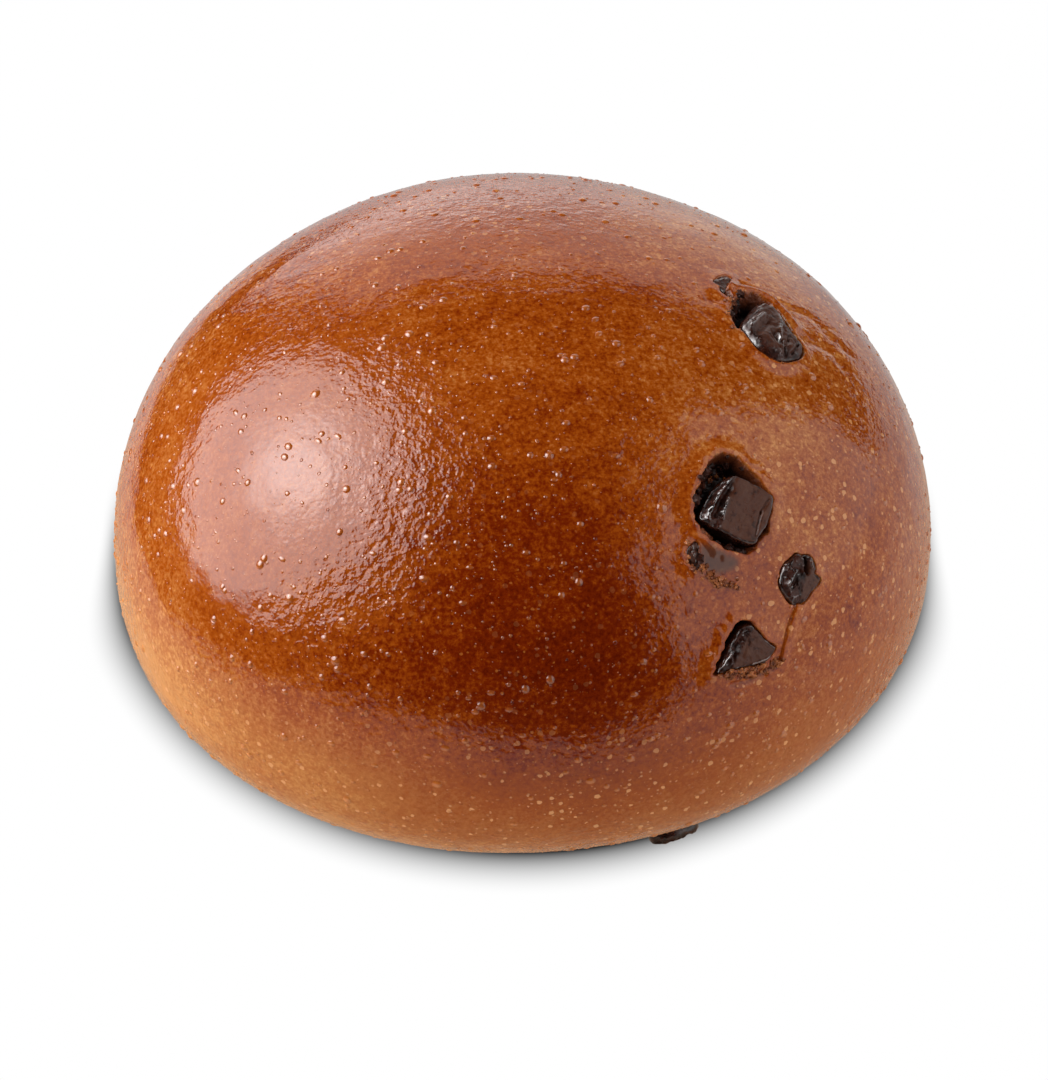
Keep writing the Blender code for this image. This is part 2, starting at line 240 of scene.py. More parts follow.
def panel(name, corners, strength, round_about=None, hot=None):
    """A lit panel that the camera doesn't see: round about a spot, and hotter by a strength near another."""
    surface = new_material(name + " light")
    tree = surface.node_tree
    bright = strength
    if hot:
        spot, extra, radius = hot
        bright = fade(tree, distance_from(tree, spot), 0.0, 2 * radius, strength + extra, strength)
    if round_about:
        spot, radius = round_about
        inside = fade(tree, distance_from(tree, spot), radius - SOFT_BOX_RIM, radius, 1.0, 0.0)
        bright = calculate(tree, "MULTIPLY", inside, bright)
    front = add_node(tree, "ShaderNodeEmission", Strength=bright)
    add_node(tree, "ShaderNodeOutputMaterial", Surface=front.outputs[0])
    made = stage_sheet(name, corners, surface)
    made.visible_camera = False
    made.visible_shadow = False
    return made


def hang(name, middle, across, up, in_gloss, on_bread, round_about=None, hot=None):
    corners = [middle + x * across + y * up for x, y in ((-1, -1), (1, -1), (1, 1), (-1, 1))]
    panel(name + "_in_gloss", corners, in_gloss, round_about, hot).visible_diffuse = False
    panel(name + "_on_bread", corners, on_bread, round_about).visible_glossy = False


middle = SOFT_BOX_DISTANCE * compass(*SOFT_BOX_TOWARDS)
across = Vector((0, 0, 1)).cross(middle).normalized() * SOFT_BOX_RADIUS
up = middle.normalized().cross(across)
round_box = (middle, SOFT_BOX_RADIUS)
hot_box = (SOFT_BOX_DISTANCE * compass(*SOFT_BOX_HOT_TOWARDS), SOFT_BOX_HOT_IN_GLOSS, SOFT_BOX_HOT_RADIUS)
hang("soft_box", middle, across, up, SOFT_BOX_IN_GLOSS, SOFT_BOX_ON_BREAD, round_box, hot_box)
middle, across, up = Vector((0.5, -0.19, 0.45)), Vector((0, 0.45, 0)), Vector((0, 0, 0.45))
hang("right_card", middle, across, up, CARD_IN_GLOSS, CARD_ON_BREAD)
middle, across, up = Vector((0.05, 0.6, 0.25)), Vector((0.4, 0, 0)), Vector((0, 0, 0.25))
hot_back = (BACK_CARD_HOT_AT, BACK_CARD_HOT_IN_GLOSS, BACK_CARD_HOT_RADIUS)
hang("back_card", middle, across, up, BACK_CARD_IN_GLOSS, BACK_CARD_ON_BREAD, hot=hot_back)

world = bpy.data.worlds.new("studio")
world.use_nodes = True
bpy.context.scene.world = world
tree = world.node_tree
tree.nodes.clear()
ray = add_node(tree, "ShaderNodeLightPath")
seen, glossy = ray.outputs["Is Camera Ray"], ray.outputs["Is Glossy Ray"]
bright = add_node(tree, "ShaderNodeMapRange", Value=seen, To_Min=ROOM_ON_BREAD, To_Max=1.0).outputs[0]
blended = {"Factor": glossy, "A": bright, "B": ROOM_IN_GLOSS}
bright = result(add_node(tree, "ShaderNodeMix", {"data_type": "FLOAT"}, **blended))
room = add_node(tree, "ShaderNodeBackground", Strength=bright)
add_node(tree, "ShaderNodeOutputWorld", Surface=room.outputs[0])


# The bread. A ball of enriched dough, proved and baked on a tray: a dome over a tucked-in foot, flat
# underneath. Where it rose round the chocolate the crust drew back, tore, and rolled up at the edges.
BUN_RADIUS = 47.5 * MM
DOME_RISE = 38.5 * MM
BELLY_HEIGHT = 19.0 * MM
UNDERSIDE_DROP = 22.8 * MM
DOME_FULLNESS = 2.22
UNDERSIDE_FULLNESS = 2.3
OVAL_SHARE = 0.0225
OVAL_TURN = math.radians(3.4)
THREE_LOBE_SHARE = 0.008
THREE_LOBE_TURN = math.radians(-19.3)
LEAN_X = 0.010
LEAN_Y = -0.011
SWELL_HEIGHT = 0.25 * MM
SWELL_PITCH = 24 * MM
# The dough's skin dried unevenly: shallow dimples, and finer puckers between them.
DIMPLE_HEIGHT = 0.055 * MM
DIMPLE_PITCH = 6.5 * MM
PUCKER_HEIGHT = 0.060 * MM
PUCKER_PITCH = 2.4 * MM

SPHERE_SUBDIVISIONS = 7
# Edges are halved while they are longer than the first and nearer a torn edge than the second.
FINENESS = ((0.60 * MM, 3.4 * MM), (0.32 * MM, 1.4 * MM), (0.17 * MM, 0.50 * MM))

LIP_HEIGHT = 0.32 * MM
LIP_WIDTH = 1.1 * MM
WALL_RUN = 0.40 * MM
RAGGED_BY = 0.16 * MM
RAGGED_PITCH = 0.9 * MM
CRUMB_ROUGHNESS = 0.35 * MM

# Each piece of chocolate: where it lies, its outline in mm on the crust, how far its face stands out,
# how that face slopes, its rounded edge, how deep it goes, and the ridges (or, below nought, grooves)
# along its face as (x, y, x, y, width, height). Where face_from is given, the moulded face begins at its
# point and lies to the side that its direction points to; the rest of the top is broken.
PIECES = {
    "block": dict(
        at=(-49.6, 43.4), top=0.55, slope=(0.06, -0.10), bevel=0.45, depth=4.2,
        outline=((1.4, 3.7), (2.6, 3.0), (4.7, -0.1), (4.8, -0.8), (2.6, -3.0), (1.1, -3.5),
                 (0.1, -4.3), (-0.8, -3.8), (-4.2, 0.5), (-4.2, 1.2), (-1.8, 2.8), (-0.3, 3.3)),
        ridges=((1.2, 3.4, 0.0, 2.9, 0.20, 0.30), (0.0, 2.9, -2.6, 1.5, 0.26, 0.36),
                (-2.6, 1.5, -3.5, 0.6, 0.42, 0.36), (0.3, 3.3, -1.9, 2.5, 0.20, -0.30),
                (0.5, 2.5, -2.5, 0.7, 0.42, -0.42), (-0.1, 1.6, -1.0, 0.9, 0.15, 0.20),
                (-1.0, 0.9, -2.0, -0.2, 0.15, 0.18), (-1.6, 2.9, -3.9, 1.2, 0.45, -0.45),
                (4.0, -0.6, 2.4, -1.4, 0.14, -0.22), (2.4, -1.4, 0.6, -3.3, 0.14, -0.22)),
        face_from=((-1.0, 0.7), (0.69, -0.72)),
    ),
    "sunken": dict(
        at=(-60.3, 39.7), top=0.15, slope=(0, 0), bevel=0.3, depth=1.6,
        outline=((0.8, 1.3), (1.1, 0.8), (0.8, 0.0), (0.3, -1.0), (-0.1, -1.5), (-0.5, -1.2), (-0.7, -0.2),
                 (-0.5, 0.7)),
        ridges=((0.2, 1.0, 0.0, -1.2, 0.2, 0.12), (-0.5, 0.3, 0.7, 0.2, 0.15, -0.15)),
    ),
    "nib": dict(
        at=(-44.7, 28.6), top=0.75, slope=(-0.02, 0.03), bevel=0.8, depth=3.6,
        outline=((-2.54, 1.2), (-1.35, 2.43), (-0.08, 2.53), (1.01, 2.84), (1.56, 2.2), (2.42, 1.9),
                 (2.89, 0.93), (2.71, -0.08), (2.3, -0.4), (2.96, -1.32), (2.43, -1.79), (1.38, -1.99),
                 (0.4, -2.48), (-0.49, -2.77), (-1.17, -2.3), (-1.83, -2.34), (-2.33, -1.35), (-2.68, -0.07)),
        ridges=((-1.9, 0.4, -0.4, 1.3, 0.26, 0.34), (-2.2, 1.1, -0.8, 2.0, 0.24, -0.28),
                (-1.3, -0.2, 0.4, 0.8, 0.32, -0.34), (1.8, 2.2, 1.2, 0.3, 0.26, -0.80),
                (2.3, 1.7, 1.95, 0.6, 0.18, 0.30)),
        face_from=((0.0, -0.9), (0.74, -0.67)),
    ),
    "wedge": dict(
        at=(-56.4, 21.9), top=0.30, slope=(0.05, -0.10), bevel=0.5, depth=3.4,
        outline=((0.5, 2.7), (1.6, 2.3), (2.8, -0.3), (3.7, -1.1), (3.0, -1.8), (1.9, -2.4),
                 (0.7, -2.3), (-1.4, -1.8), (-4.1, -1.7), (-3.5, -0.9), (-2.2, 0.3), (-1.0, 1.6)),
        ridges=((-1.5, 0.3, -3.4, -0.9, 0.22, 0.34), (0.5, 1.9, -1.2, 0.4, 0.28, -0.24),
                (-0.2, 0.9, -2.6, -0.9, 0.35, -0.26), (2.5, -1.8, 0.3, -1.9, 0.16, 0.16),
                (0.4, 0.6, -0.6, -0.6, 0.3, -0.12)),
        face_from=((-0.2, 0.4), (0.69, -0.73)),
    ),
    "long": dict(
        at=(-6.1, 57.2), top=1.0, slope=(-0.05, 0.04), bevel=1.6, depth=4.0,
        outline=((4.7, 1.6), (3.6, 2.5), (2.3, 2.8), (0.4, 3.6), (-0.7, 3.9), (-1.7, 3.6), (-3.7, 1.8),
                 (-4.3, -0.5), (-4.0, -1.8), (-2.2, -3.8), (-0.8, -4.2), (0.4, -4.0), (1.9, -2.4),
                 (4.8, -0.3)),
        ridges=((1.1, 2.0, -0.7, 3.2, 0.24, 0.30), (2.3, 1.9, 0.6, 3.3, 0.24, 0.26),
                (3.6, 1.6, 2.0, 2.9, 0.24, 0.20), (1.5, 1.6, -1.2, 3.0, 0.26, 0.30),
                (0.5, 1.0, -1.8, 2.2, 0.50, -0.45), (3.0, -0.5, 0.2, -0.6, 0.30, 0.20),
                (0.2, -0.6, -1.6, -0.8, 0.26, 0.16),
                (-0.9, 0.0, -1.8, -0.6, 0.40, -0.75), (-1.5, -1.0, -3.7, -1.8, 0.18, -0.50),
                (1.2, -3.2, -0.7, -3.1, 0.15, -0.36), (-0.7, -3.1, -2.7, -2.3, 0.15, -0.36),
                (1.6, -1.8, -0.8, -1.8, 0.15, -0.26), (-0.8, -1.8, -2.3, -1.3, 0.15, -0.26)),
    ),
    "crumb": dict(
        at=(8.3, 64.6), top=0.05, slope=(0, 0), bevel=0.3, depth=1.4,
        outline=((0.0, 1.2), (1.2, 0.2), (2.0, -1.0), (1.6, -1.7), (0.8, -1.3), (-0.7, -0.5), (-1.5, 0.0),
                 (-0.8, 0.4)),
        ridges=((0.2, 0.8, 1.3, -1.0, 0.25, 0.15),),
    ),
    "foot": dict(
        at=(-62.5, -37.5), top=1.9, slope=(0, 0), bevel=0.9, depth=2.6,
        outline=((3.1, 0.4), (2.3, 1.6), (0.3, 2.1), (-1.9, 1.8), (-3.2, 0.8), (-3.0, -0.9), (-1.2, -1.9),
                 (1.4, -1.7), (2.7, -1.0)),
        ridges=((1.2, 1.4, 0.4, -1.4, 0.35, -0.35), (-1.6, 1.2, -2.0, -1.0, 0.3, 0.15)),
    ),
    "back_1": dict(
        at=(60.0, 24.0), top=0.5, slope=(-0.07, -0.05), bevel=0.7, depth=4.0,
        outline=((3.3, 2.2), (2.4, 3.1), (-1.9, 3.4), (-3.2, 2.5), (-3.6, -1.9), (-2.7, -3.0), (1.6, -3.4),
                 (2.9, -2.4)),
        ridges=((-2.8, 2.6, -3.0, -2.0, 0.3, 0.15), (-2.2, 2.8, -2.4, -2.6, 0.3, -0.2)),
    ),
    "back_2": dict(
        at=(83.0, 31.0), top=0.4, slope=(0.04, 0.06), bevel=0.6, depth=3.6,
        outline=((3.9, 0.6), (2.3, 1.6), (-0.6, 2.6), (-2.6, 2.4), (-3.1, 0.7), (-2.1, -2.2), (-0.9, -2.7),
                 (1.9, -1.0)),
        ridges=((-2.6, 1.8, 2.8, 0.6, 0.3, 0.18), (-1.8, 0.4, 1.4, -0.6, 0.5, -0.2)),
    ),
    "back_3": dict(
        at=(97.0, 9.0), top=0.7, slope=(0, 0), bevel=1.2, depth=3.6,
        outline=((2.6, 2.0), (0.8, 3.0), (-1.3, 2.7), (-2.7, 1.0), (-2.8, -1.2), (-1.2, -2.9), (1.0, -2.8),
                 (2.5, -1.1)),
        ridges=((-1.2, 2.2, 0.8, -2.4, 0.35, -0.35), (-0.4, 2.4, 1.7, -1.8, 0.3, 0.2)),
    ),
    "back_4": dict(
        at=(141.0, 17.0), top=0.8, slope=(0.03, -0.06), bevel=1.4, depth=3.8,
        outline=((4.0, 1.9), (2.6, 3.1), (-0.6, 2.6), (-3.4, 1.2), (-4.2, -0.5), (-3.2, -2.2), (-0.3, -2.5),
                 (2.9, -1.1)),
        ridges=((-3.6, -0.6, 3.0, 1.2, 0.35, -0.4), (-2.6, -1.6, 2.6, -0.2, 0.25, -0.25)),
    ),
    "back_5": dict(
        at=(168.0, -27.0), top=0.5, slope=(0, 0), bevel=0.9, depth=3.6,
        outline=((2.7, 1.5), (1.3, 2.6), (-1.6, 2.3), (-2.8, 0.8), (-2.4, -1.7), (-0.8, -2.5), (1.7, -2.1),
                 (2.8, -0.5)),
        ridges=((-1.8, 1.8, 1.6, -1.6, 0.3, 0.2),),
    ),
}

# The gaps that the crust left beside the chocolate, and the tear: place, outline in mm, depth in mm.
OPENINGS = (
    ((-49.6, 43.4),
     ((2.0, 6.3), (3.3, 5.5), (4.0, 4.2), (4.7, 1.2), (5.2, -0.7), (2.7, -3.5), (1.0, -4.2), (-0.3, -4.9),
      (-1.6, -4.5), (-3.5, -2.8), (-4.8, -0.2), (-4.7, 1.8), (-3.5, 3.6), (-0.8, 5.6), (0.7, 6.3)), 3.4),
    ((-56.4, 21.9),
     ((0.8, 3.3), (1.8, 2.5), (1.0, 1.0), (-2.0, -0.6), (-4.0, -1.9), (-4.5, -1.3), (-2.7, 0.9), (-1.7, 2.3),
      (-0.4, 3.2)), 2.8),
    ((-6.1, 57.2),
     ((3.9, 4.9), (1.7, 5.3), (-0.5, 5.1), (-2.1, 3.6), (-1.5, 0.5), (3.5, -0.5), (5.6, 0.6), (5.7, 2.3),
      (5.2, 3.6)), 3.2),
    ((4.6, 64.1),
     ((0.8, 1.0), (0.9, 0.3), (-0.5, -1.1), (-1.5, -1.7), (-1.9, -0.9), (-0.9, 0.3), (0.2, 1.1)), 1.3),
    ((60.0, 24.0),
     ((3.9, 3.6), (0.2, 5.0), (-3.6, 4.0), (-4.5, 1.6), (-4.1, -2.0), (0.0, -1.0), (3.2, 0.6)), 3.2),
    ((83.0, 31.0), ((1.4, -2.6), (-0.7, -3.7), (-2.5, -3.0), (-3.9, 0.6), (-1.5, 1.2), (1.6, -0.4)), 2.6),
    ((141.0, 17.0), ((4.9, 3.0), (2.6, 4.4), (-1.0, 3.6), (0.0, 0.4), (4.4, 0.4)), 3.0),
)

# Folds and creases of the skin: place, points in mm, width in mm, and height in mm, below nought for a
# crease.
FOLDS = (
    ((-56.4, 21.9), ((7.0, 2.3), (6.6, 1.6), (5.7, 0.3), (4.4, -1.7), (3.9, -3.0)), 0.16, -0.30),
    ((-56.4, 21.9), ((7.5, 2.1), (7.1, 1.3), (6.2, 0.0), (4.9, -1.9), (4.3, -3.2), (2.7, -3.9)), 0.8, 0.28),
    ((-56.4, 21.9), ((3.9, -3.0), (2.7, -3.6), (-0.2, -3.9), (-2.2, -3.6)), 0.35, -0.28),
    ((-6.1, 57.2), ((5.6, 5.6), (6.0, 3.4), (6.3, 1.5), (5.7, -0.5), (4.5, -1.9), (3.0, -3.2)), 0.9, 0.55),
    ((-6.1, 57.2), ((7.4, 3.8), (7.3, 1.2), (6.8, -0.9), (5.6, -2.7)), 0.45, -0.22),
    ((-6.1, 57.2),
     ((6.4, -0.6), (6.8, -2.8), (7.5, -4.9), (7.0, -6.5), (5.6, -7.6), (5.4, -9.4), (5.5, -10.8)),
     0.5, -0.22),
    ((-6.1, 57.2), ((2.2, -4.6), (2.7, -5.8), (3.2, -7.2), (3.2, -8.5), (1.7, -10.0)), 0.6, -0.30),
    ((-6.1, 57.2), ((2.5, -3.5), (2.9, -3.9)), 0.5, -0.6),
)

# Where the skin over the sunken piece is thin enough to show it grey: the outline in mm, at its place.
FILM_OUTLINE = (
    (1.1, 1.0), (2.2, 0.5), (3.2, -0.7), (4.9, -2.0), (4.8, -2.9), (3.4, -3.2), (1.5, -2.6), (0.7, -1.3),
)


def crust_at(azimuth, latitude):
    """Points of the smooth crust, for arrays of azimuths and latitudes in radians."""
    up = latitude >= 0
    fullness = np.where(up, DOME_FULLNESS, UNDERSIDE_FULLNESS)
    radius = np.abs(np.cos(latitude)) ** (2 / fullness)
    rise = np.abs(np.sin(latitude)) ** (2 / fullness) * np.where(up, DOME_RISE, -UNDERSIDE_DROP)
    plan = 1 + OVAL_SHARE * np.cos(2 * (azimuth - OVAL_TURN))
    plan += THREE_LOBE_SHARE * np.cos(3 * (azimuth - THREE_LOBE_TURN))
    radius = BUN_RADIUS * radius * plan
    x = radius * np.cos(azimuth) + LEAN_X * rise
    y = radius * np.sin(azimuth) + LEAN_Y * rise
    return np.stack([x, y, rise + BELLY_HEIGHT], axis=-1)


def crust_normals(azimuth, latitude):
    """Outward normals of the smooth crust, from points a small step apart."""
    step = 1e-3
    latitude = np.clip(latitude, 2 * step - math.pi / 2, math.pi / 2 - 2 * step)
    east = crust_at(azimuth + step, latitude) - crust_at(azimuth - step, latitude)
    north = crust_at(azimuth, latitude + step) - crust_at(azimuth, latitude - step)
    normals = np.cross(east, north)
    return normals / np.linalg.norm(normals, axis=-1, keepdims=True)


def frame_at(place):
    """The point at (azimuth, latitude) in degrees, and an array whose columns point east, north and out."""
    angles = np.radians([place[0]]), np.radians([place[1]])
    point, out = crust_at(*angles)[0], crust_normals(*angles)[0]
    east = np.cross((0, 0, 1), out)
    east /= np.linalg.norm(east)
    return point, np.stack([east, np.cross(out, east), out], axis=1)


def rounded(outline, times=2):
    """The outline in metres, anticlockwise, with its corners cut off so many times."""
    ring = np.array(outline) * MM
    if np.sum(ring[:, 0] * np.roll(ring[:, 1], -1) - ring[:, 1] * np.roll(ring[:, 0], -1)) < 0:
        ring = ring[::-1]
    for _ in range(times):
        following = np.roll(ring, -1, axis=0)
        pairs = [0.78 * ring + 0.22 * following, 0.22 * ring + 0.78 * following]
        ring = np.stack(pairs, axis=1).reshape(-1, 2)
    return ring


def path_distance(points, starts, ends):
    """How far each 2D point is from the nearest of the straight pieces."""
    nearest = np.full(len(points), np.inf)
    for start, end in zip(starts, ends):
        side = end - start
        along = ((points - start) @ side / (side @ side)).clip(0, 1)
        nearest = np.minimum(nearest, np.linalg.norm(points - start - along[:, None] * side, axis=1))
    return nearest


def inside_by(points, ring):
    """How far inside the ring each 2D point is, below nought outside it."""
    following = np.roll(ring, -1, axis=0)
    crossings = np.zeros(len(points), int)
    for (x0, y0), (x1, y1) in zip(ring, following):
        if y0 == y1:
            continue
        between = (points[:, 1] > y0) != (points[:, 1] > y1)
        crossings += between & (points[:, 0] < x0 + (points[:, 1] - y0) * (x1 - x0) / (y1 - y0))
    return np.where(crossings % 2 == 1, 1, -1) * path_distance(points, ring, following)


def noise_at(points, pitch, seed=0.0):
    """Smooth noise from about -0.5 to 0.5 at each point, with hills about a pitch apart."""
    shift = Vector((seed, 2.3 * seed, 5.1 * seed))
    return np.array([noise.noise(Vector(point) / pitch + shift) for point in points])


def smooth_step(x):
    x = np.clip(x, 0, 1)
    return x * x * (3 - 2 * x)


def near_place(points, place, reach=16 * MM):
    """(index of the points near a place, those points east, north and outwards of it)."""
    centre, axes = frame_at(place)
    near = np.flatnonzero(np.linalg.norm(points - centre, axis=1) < reach)
    return near, (points[near] - centre) @ axes


def torn_edge_distance(points):
    """How far each point is from the nearest edge of a piece of chocolate or an opening."""
    nearest = np.full(len(points), np.inf)
    places = [(piece["at"], piece["outline"]) for piece in PIECES.values()]
    places += [(place, outline) for place, outline, _ in OPENINGS]
    for place, outline in places:
        near, across = near_place(points, place)
        ring = rounded(outline)
        away = path_distance(across[:, :2], ring, np.roll(ring, -1, axis=0))
        nearest[near] = np.minimum(nearest[near], away)
    return nearest


def fold_distance(points):
    """How far each point is from the nearest narrow fold or crease."""
    nearest = np.full(len(points), np.inf)
    for place, path, width, _ in FOLDS:
        if width < 0.5:
            near, across = near_place(points, place)
            path = np.array(path) * MM
            nearest[near] = np.minimum(nearest[near], path_distance(across[:, :2], path[:-1], path[1:]))
    return nearest


def on_smooth_crust(directions):
    azimuth = np.arctan2(directions[:, 1], directions[:, 0])
    latitude = np.arcsin(directions[:, 2].clip(-1, 1))
    return crust_at(azimuth, latitude), crust_normals(azimuth, latitude)


def sphere_finer_at_edges():
    """A unit sphere of triangles, finer where the crust is torn."""
    bm = bmesh.new()
    bmesh.ops.create_icosphere(bm, subdivisions=SPHERE_SUBDIVISIONS, radius=1)
    for longest, reach in FINENESS:
        middles = np.array([(e.verts[0].co + e.verts[1].co).normalized() for e in bm.edges])
        middles = on_smooth_crust(middles)[0]
        near = np.minimum(torn_edge_distance(middles), fold_distance(middles)) < reach
        long = np.array([e.calc_length() for e in bm.edges]) * BUN_RADIUS > longest
        chosen = [edge for edge, wanted in zip(bm.edges, near & long) if wanted]
        bmesh.ops.subdivide_edges(bm, edges=chosen, cuts=1)
        bmesh.ops.triangulate(bm, faces=bm.faces)
        for vert in bm.verts:
            vert.co.normalize()
    return bm


def crust_relief(points):
    """(height, torn, hollow) of the crust at each point: how far it stands out, how much of it is bare
    crumb, and how deep it lies, as a share of 3 mm."""
    grounded = np.clip(points[:, 2] / BELLY_HEIGHT, 0, 1)
    height = SWELL_HEIGHT * noise_at(points, SWELL_PITCH) * grounded
    puckers = PUCKER_HEIGHT * noise_at(points, PUCKER_PITCH, 8.1)
    height += DIMPLE_HEIGHT * noise_at(points, DIMPLE_PITCH, 3.7) + puckers
    lip, drop, torn = np.zeros(len(points)), np.zeros(len(points)), np.zeros(len(points))
    ragged = np.zeros(len(points))
    close = np.flatnonzero(torn_edge_distance(points) < 3 * MM)
    ragged[close] = RAGGED_BY * 2 * noise_at(points[close], RAGGED_PITCH, 1.9)
    crumbly = np.zeros(len(points))
    crumbly[close] = CRUMB_ROUGHNESS * noise_at(points[close], 0.55 * MM, 4.4)
    for place, outline, depth in OPENINGS:
        near, across = near_place(points, place)
        inside = inside_by(across[:, :2], rounded(outline)) + ragged[near]
        rolled = LIP_HEIGHT * np.exp(-((inside + 0.3 * LIP_WIDTH) ** 2) / LIP_WIDTH**2)
        lip[near] = np.maximum(lip[near], rolled)
        sunk = smooth_step(inside / (2.2 * WALL_RUN))
        drop[near] = np.maximum(drop[near], sunk * (depth * MM - crumbly[near]))
        torn[near] = np.maximum(torn[near], smooth_step((inside + 0.05 * MM) / (0.5 * WALL_RUN)))
    for piece in PIECES.values():
        near, across = near_place(points, piece["at"])
        inside = inside_by(across[:, :2], rounded(piece["outline"])) + 0.10 * MM + 0.3 * ragged[near]
        scale = min(1, piece["depth"] / 3)
        lip[near] = np.maximum(lip[near], scale * LIP_HEIGHT * np.exp(-((inside / LIP_WIDTH) ** 2)))
        drop[near] = np.maximum(drop[near], 0.55 * piece["depth"] * MM * smooth_step(inside / WALL_RUN))
        torn[near] = np.maximum(torn[near], 0.8 * smooth_step(inside / (0.5 * WALL_RUN)))
    for place, path, width, rise in FOLDS:
        near, across = near_place(points, place)
        path = np.array(path) * MM
        away = path_distance(across[:, :2], path[:-1], path[1:])
        height[near] += rise * MM * np.exp(-((away / (width * MM)) ** 2))
    foot_room = np.clip(points[:, 2] / (3 * MM), 0, 1)
    return height + (lip * (1 - torn) - drop) * foot_room, torn, np.clip(drop / (3 * MM), 0, 1)


def film_over_sunken(points):
    near, across = near_place(points, PIECES["sunken"]["at"])
    film = np.zeros(len(points))
    inside = inside_by(across[:, :2], rounded(FILM_OUTLINE)) + 0.3 * MM * noise_at(across, 1.2 * MM)
    film[near] = smooth_step(inside / (1.0 * MM) + 0.5)
    return film


def store(mesh, name, values):
    mesh.attributes.new(name, "FLOAT", "POINT").data.foreach_set("value", np.asarray(values, np.float32))


def add_piece(name, mesh, node, surface):
    """A finished piece on the bun: its mesh is already in place, and it stands for a CAD node."""
    mesh.materials.clear()
    mesh.materials.append(surface)
    made = bpy.data.objects.new(name, mesh)
    bpy.context.scene.collection.objects.link(made)
    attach(made, "root")
    if node:
        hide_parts(node)
    return made


bm = sphere_finer_at_edges()
directions = np.array([vert.co for vert in bm.verts])
points, normals = on_smooth_crust(directions)
height, torn, hollow = crust_relief(points)
placed = points + height[:, None] * normals
placed[:, 2] = placed[:, 2].clip(0)
for vert, point in zip(bm.verts, placed):
    vert.co = point
crust_mesh = bpy.data.meshes.new("crust")
bm.to_mesh(crust_mesh)
bm.free()
crust_mesh.shade_smooth()
store(crust_mesh, "torn", torn)
store(crust_mesh, "hollow", hollow)
store(crust_mesh, "film", film_over_sunken(points))
store(crust_mesh, "blister", np.zeros(len(points)))


# The crust's finish: bread crust under baked egg wash, an enamel-thin brown glaze. The eye gets a wet
# gloss whose edges break up over fine puckers, and browns that run from amber to near mahogany.
CRUST_PALE = "#D8904C"
CRUST_TAN = "#C07032"
CRUST_AMBER = "#A64C0D"
CRUST_DEEP = "#7A2503"
CRUST_DEEPEST = "#5E1602"
CRUMB_TORN = "#6A3216"
HOLLOW_DARK = "#1D0B06"
UNDERSIDE_BROWN = "#8A5226"
FILM_GREY = "#4E342A"
SPECK_TAN = "#E6A064"
SPECK_AMBER = "#B5621F"
BLISTER_TAN = "#D07C3C"
# The pits are coloured dark: painted shade in them.
PIT_SHADE_BROWN = "#3A1204"
# The front shoulder took the most heat. It is darkest here, and as far out as this: partly by that baking and
# partly as painted shade.
DEEPEST_BROWN_AND_SHADE_AT = (0.0085, -0.0410, 0.0375)
DEEP_BROWN_AND_SHADE_REACH = 36 * MM
# Another browned patch, between the block and the long piece, and a paler one low at the front: each is a
# place, a reach and how much browner.
BAKED_AT = (((0.0190, -0.0030, 0.0530), 20 * MM, 0.17), ((0.0060, -0.0430, 0.0110), 20 * MM, -0.16))
BAKED_PATCH = 11 * MM
MOTTLE = 1.9 * MM
GRAIN = 0.5 * MM
SPECK_SPACING = 1.25 * MM
MARK_SPACING = 1.7 * MM
FINE_SPECK_SPACING = 0.95 * MM
PIT_SPACING = 2.3 * MM
# Noise jogs the specks' outlines by up to this.
SPECK_JOG = 0.35 * MM
FINE_PUCKER = 0.50 * MM
COARSE_PUCKER = 1.3 * MM
# The skin is most puckered round these spots: each is a place, a reach and how many times as high.
PUCKERED_AT = (
    ((-0.0110, -0.0270, 0.0512), 12 * MM, 3.6),
    ((-0.0140, -0.0360, 0.0435), 11 * MM, 3.0),
    ((-0.0260, 0.0010, 0.0510), 12 * MM, 2.0),
    ((-0.0135, -0.0150, 0.0550), 10 * MM, 3.0),
    ((-0.0240, -0.0360, 0.0380), 10 * MM, 2.4),
    ((-0.0390, -0.0180, 0.0400), 9 * MM, 1.2),
    ((0.0118, -0.0250, 0.0515), 9 * MM, 1.8),
    ((0.0300, 0.0020, 0.0512), 13 * MM, 1.6),
    ((0.0386, -0.0060, 0.0445), 12 * MM, 1.4),
    ((0.0000, 0.0220, 0.0550), 26 * MM, 2.2),
)
LOW_PUCKERS = 2.4
# Where the crust's brown is evener than elsewhere.
EVENLY_BAKED_AT = (((-0.0260, -0.0200, 0.0470), 24 * MM), ((-0.0040, 0.0200, 0.0540), 24 * MM))
# Heights of the finish's relief in micrometres.
UM = 1e-6
FINE_PUCKER_UM = 27
COARSE_PUCKER_UM = 66
PEBBLE = 0.62 * MM
PEBBLE_UM = 7
PINPRICK_BLISTER_UM = 55
MARK_UM = 65
PIT_UM = 60
CRUMB_UM = 200


def clouds(tree, place, pitch, detail=3.0, roughness=0.5):
    """Noise from 0 to 1 with hills about a pitch apart."""
    sizes = {"Scale": 1 / pitch, "Detail": detail, "Roughness": roughness}
    return add_node(tree, "ShaderNodeTexNoise", Vector=place, **sizes).outputs["Fac"]


def spots(tree, place, spacing, least_draw, largest, softness, channel=0):
    """Scattered round spots: those cells whose draw is above least_draw have one, in spacings across."""
    cells = add_node(tree, "ShaderNodeTexVoronoi", Vector=place, Scale=1 / spacing)
    draw = add_node(tree, "ShaderNodeSeparateColor", Color=cells.outputs["Color"]).outputs[channel]
    size = fade(tree, draw, least_draw, 1.0, 0.0, largest)
    return fade(tree, calculate(tree, "SUBTRACT", size, cells.outputs["Distance"]), 0.0, softness, 0.0, 1.0)


def attribute(tree, name):
    return add_node(tree, "ShaderNodeAttribute", {"attribute_name": name}).outputs["Fac"]


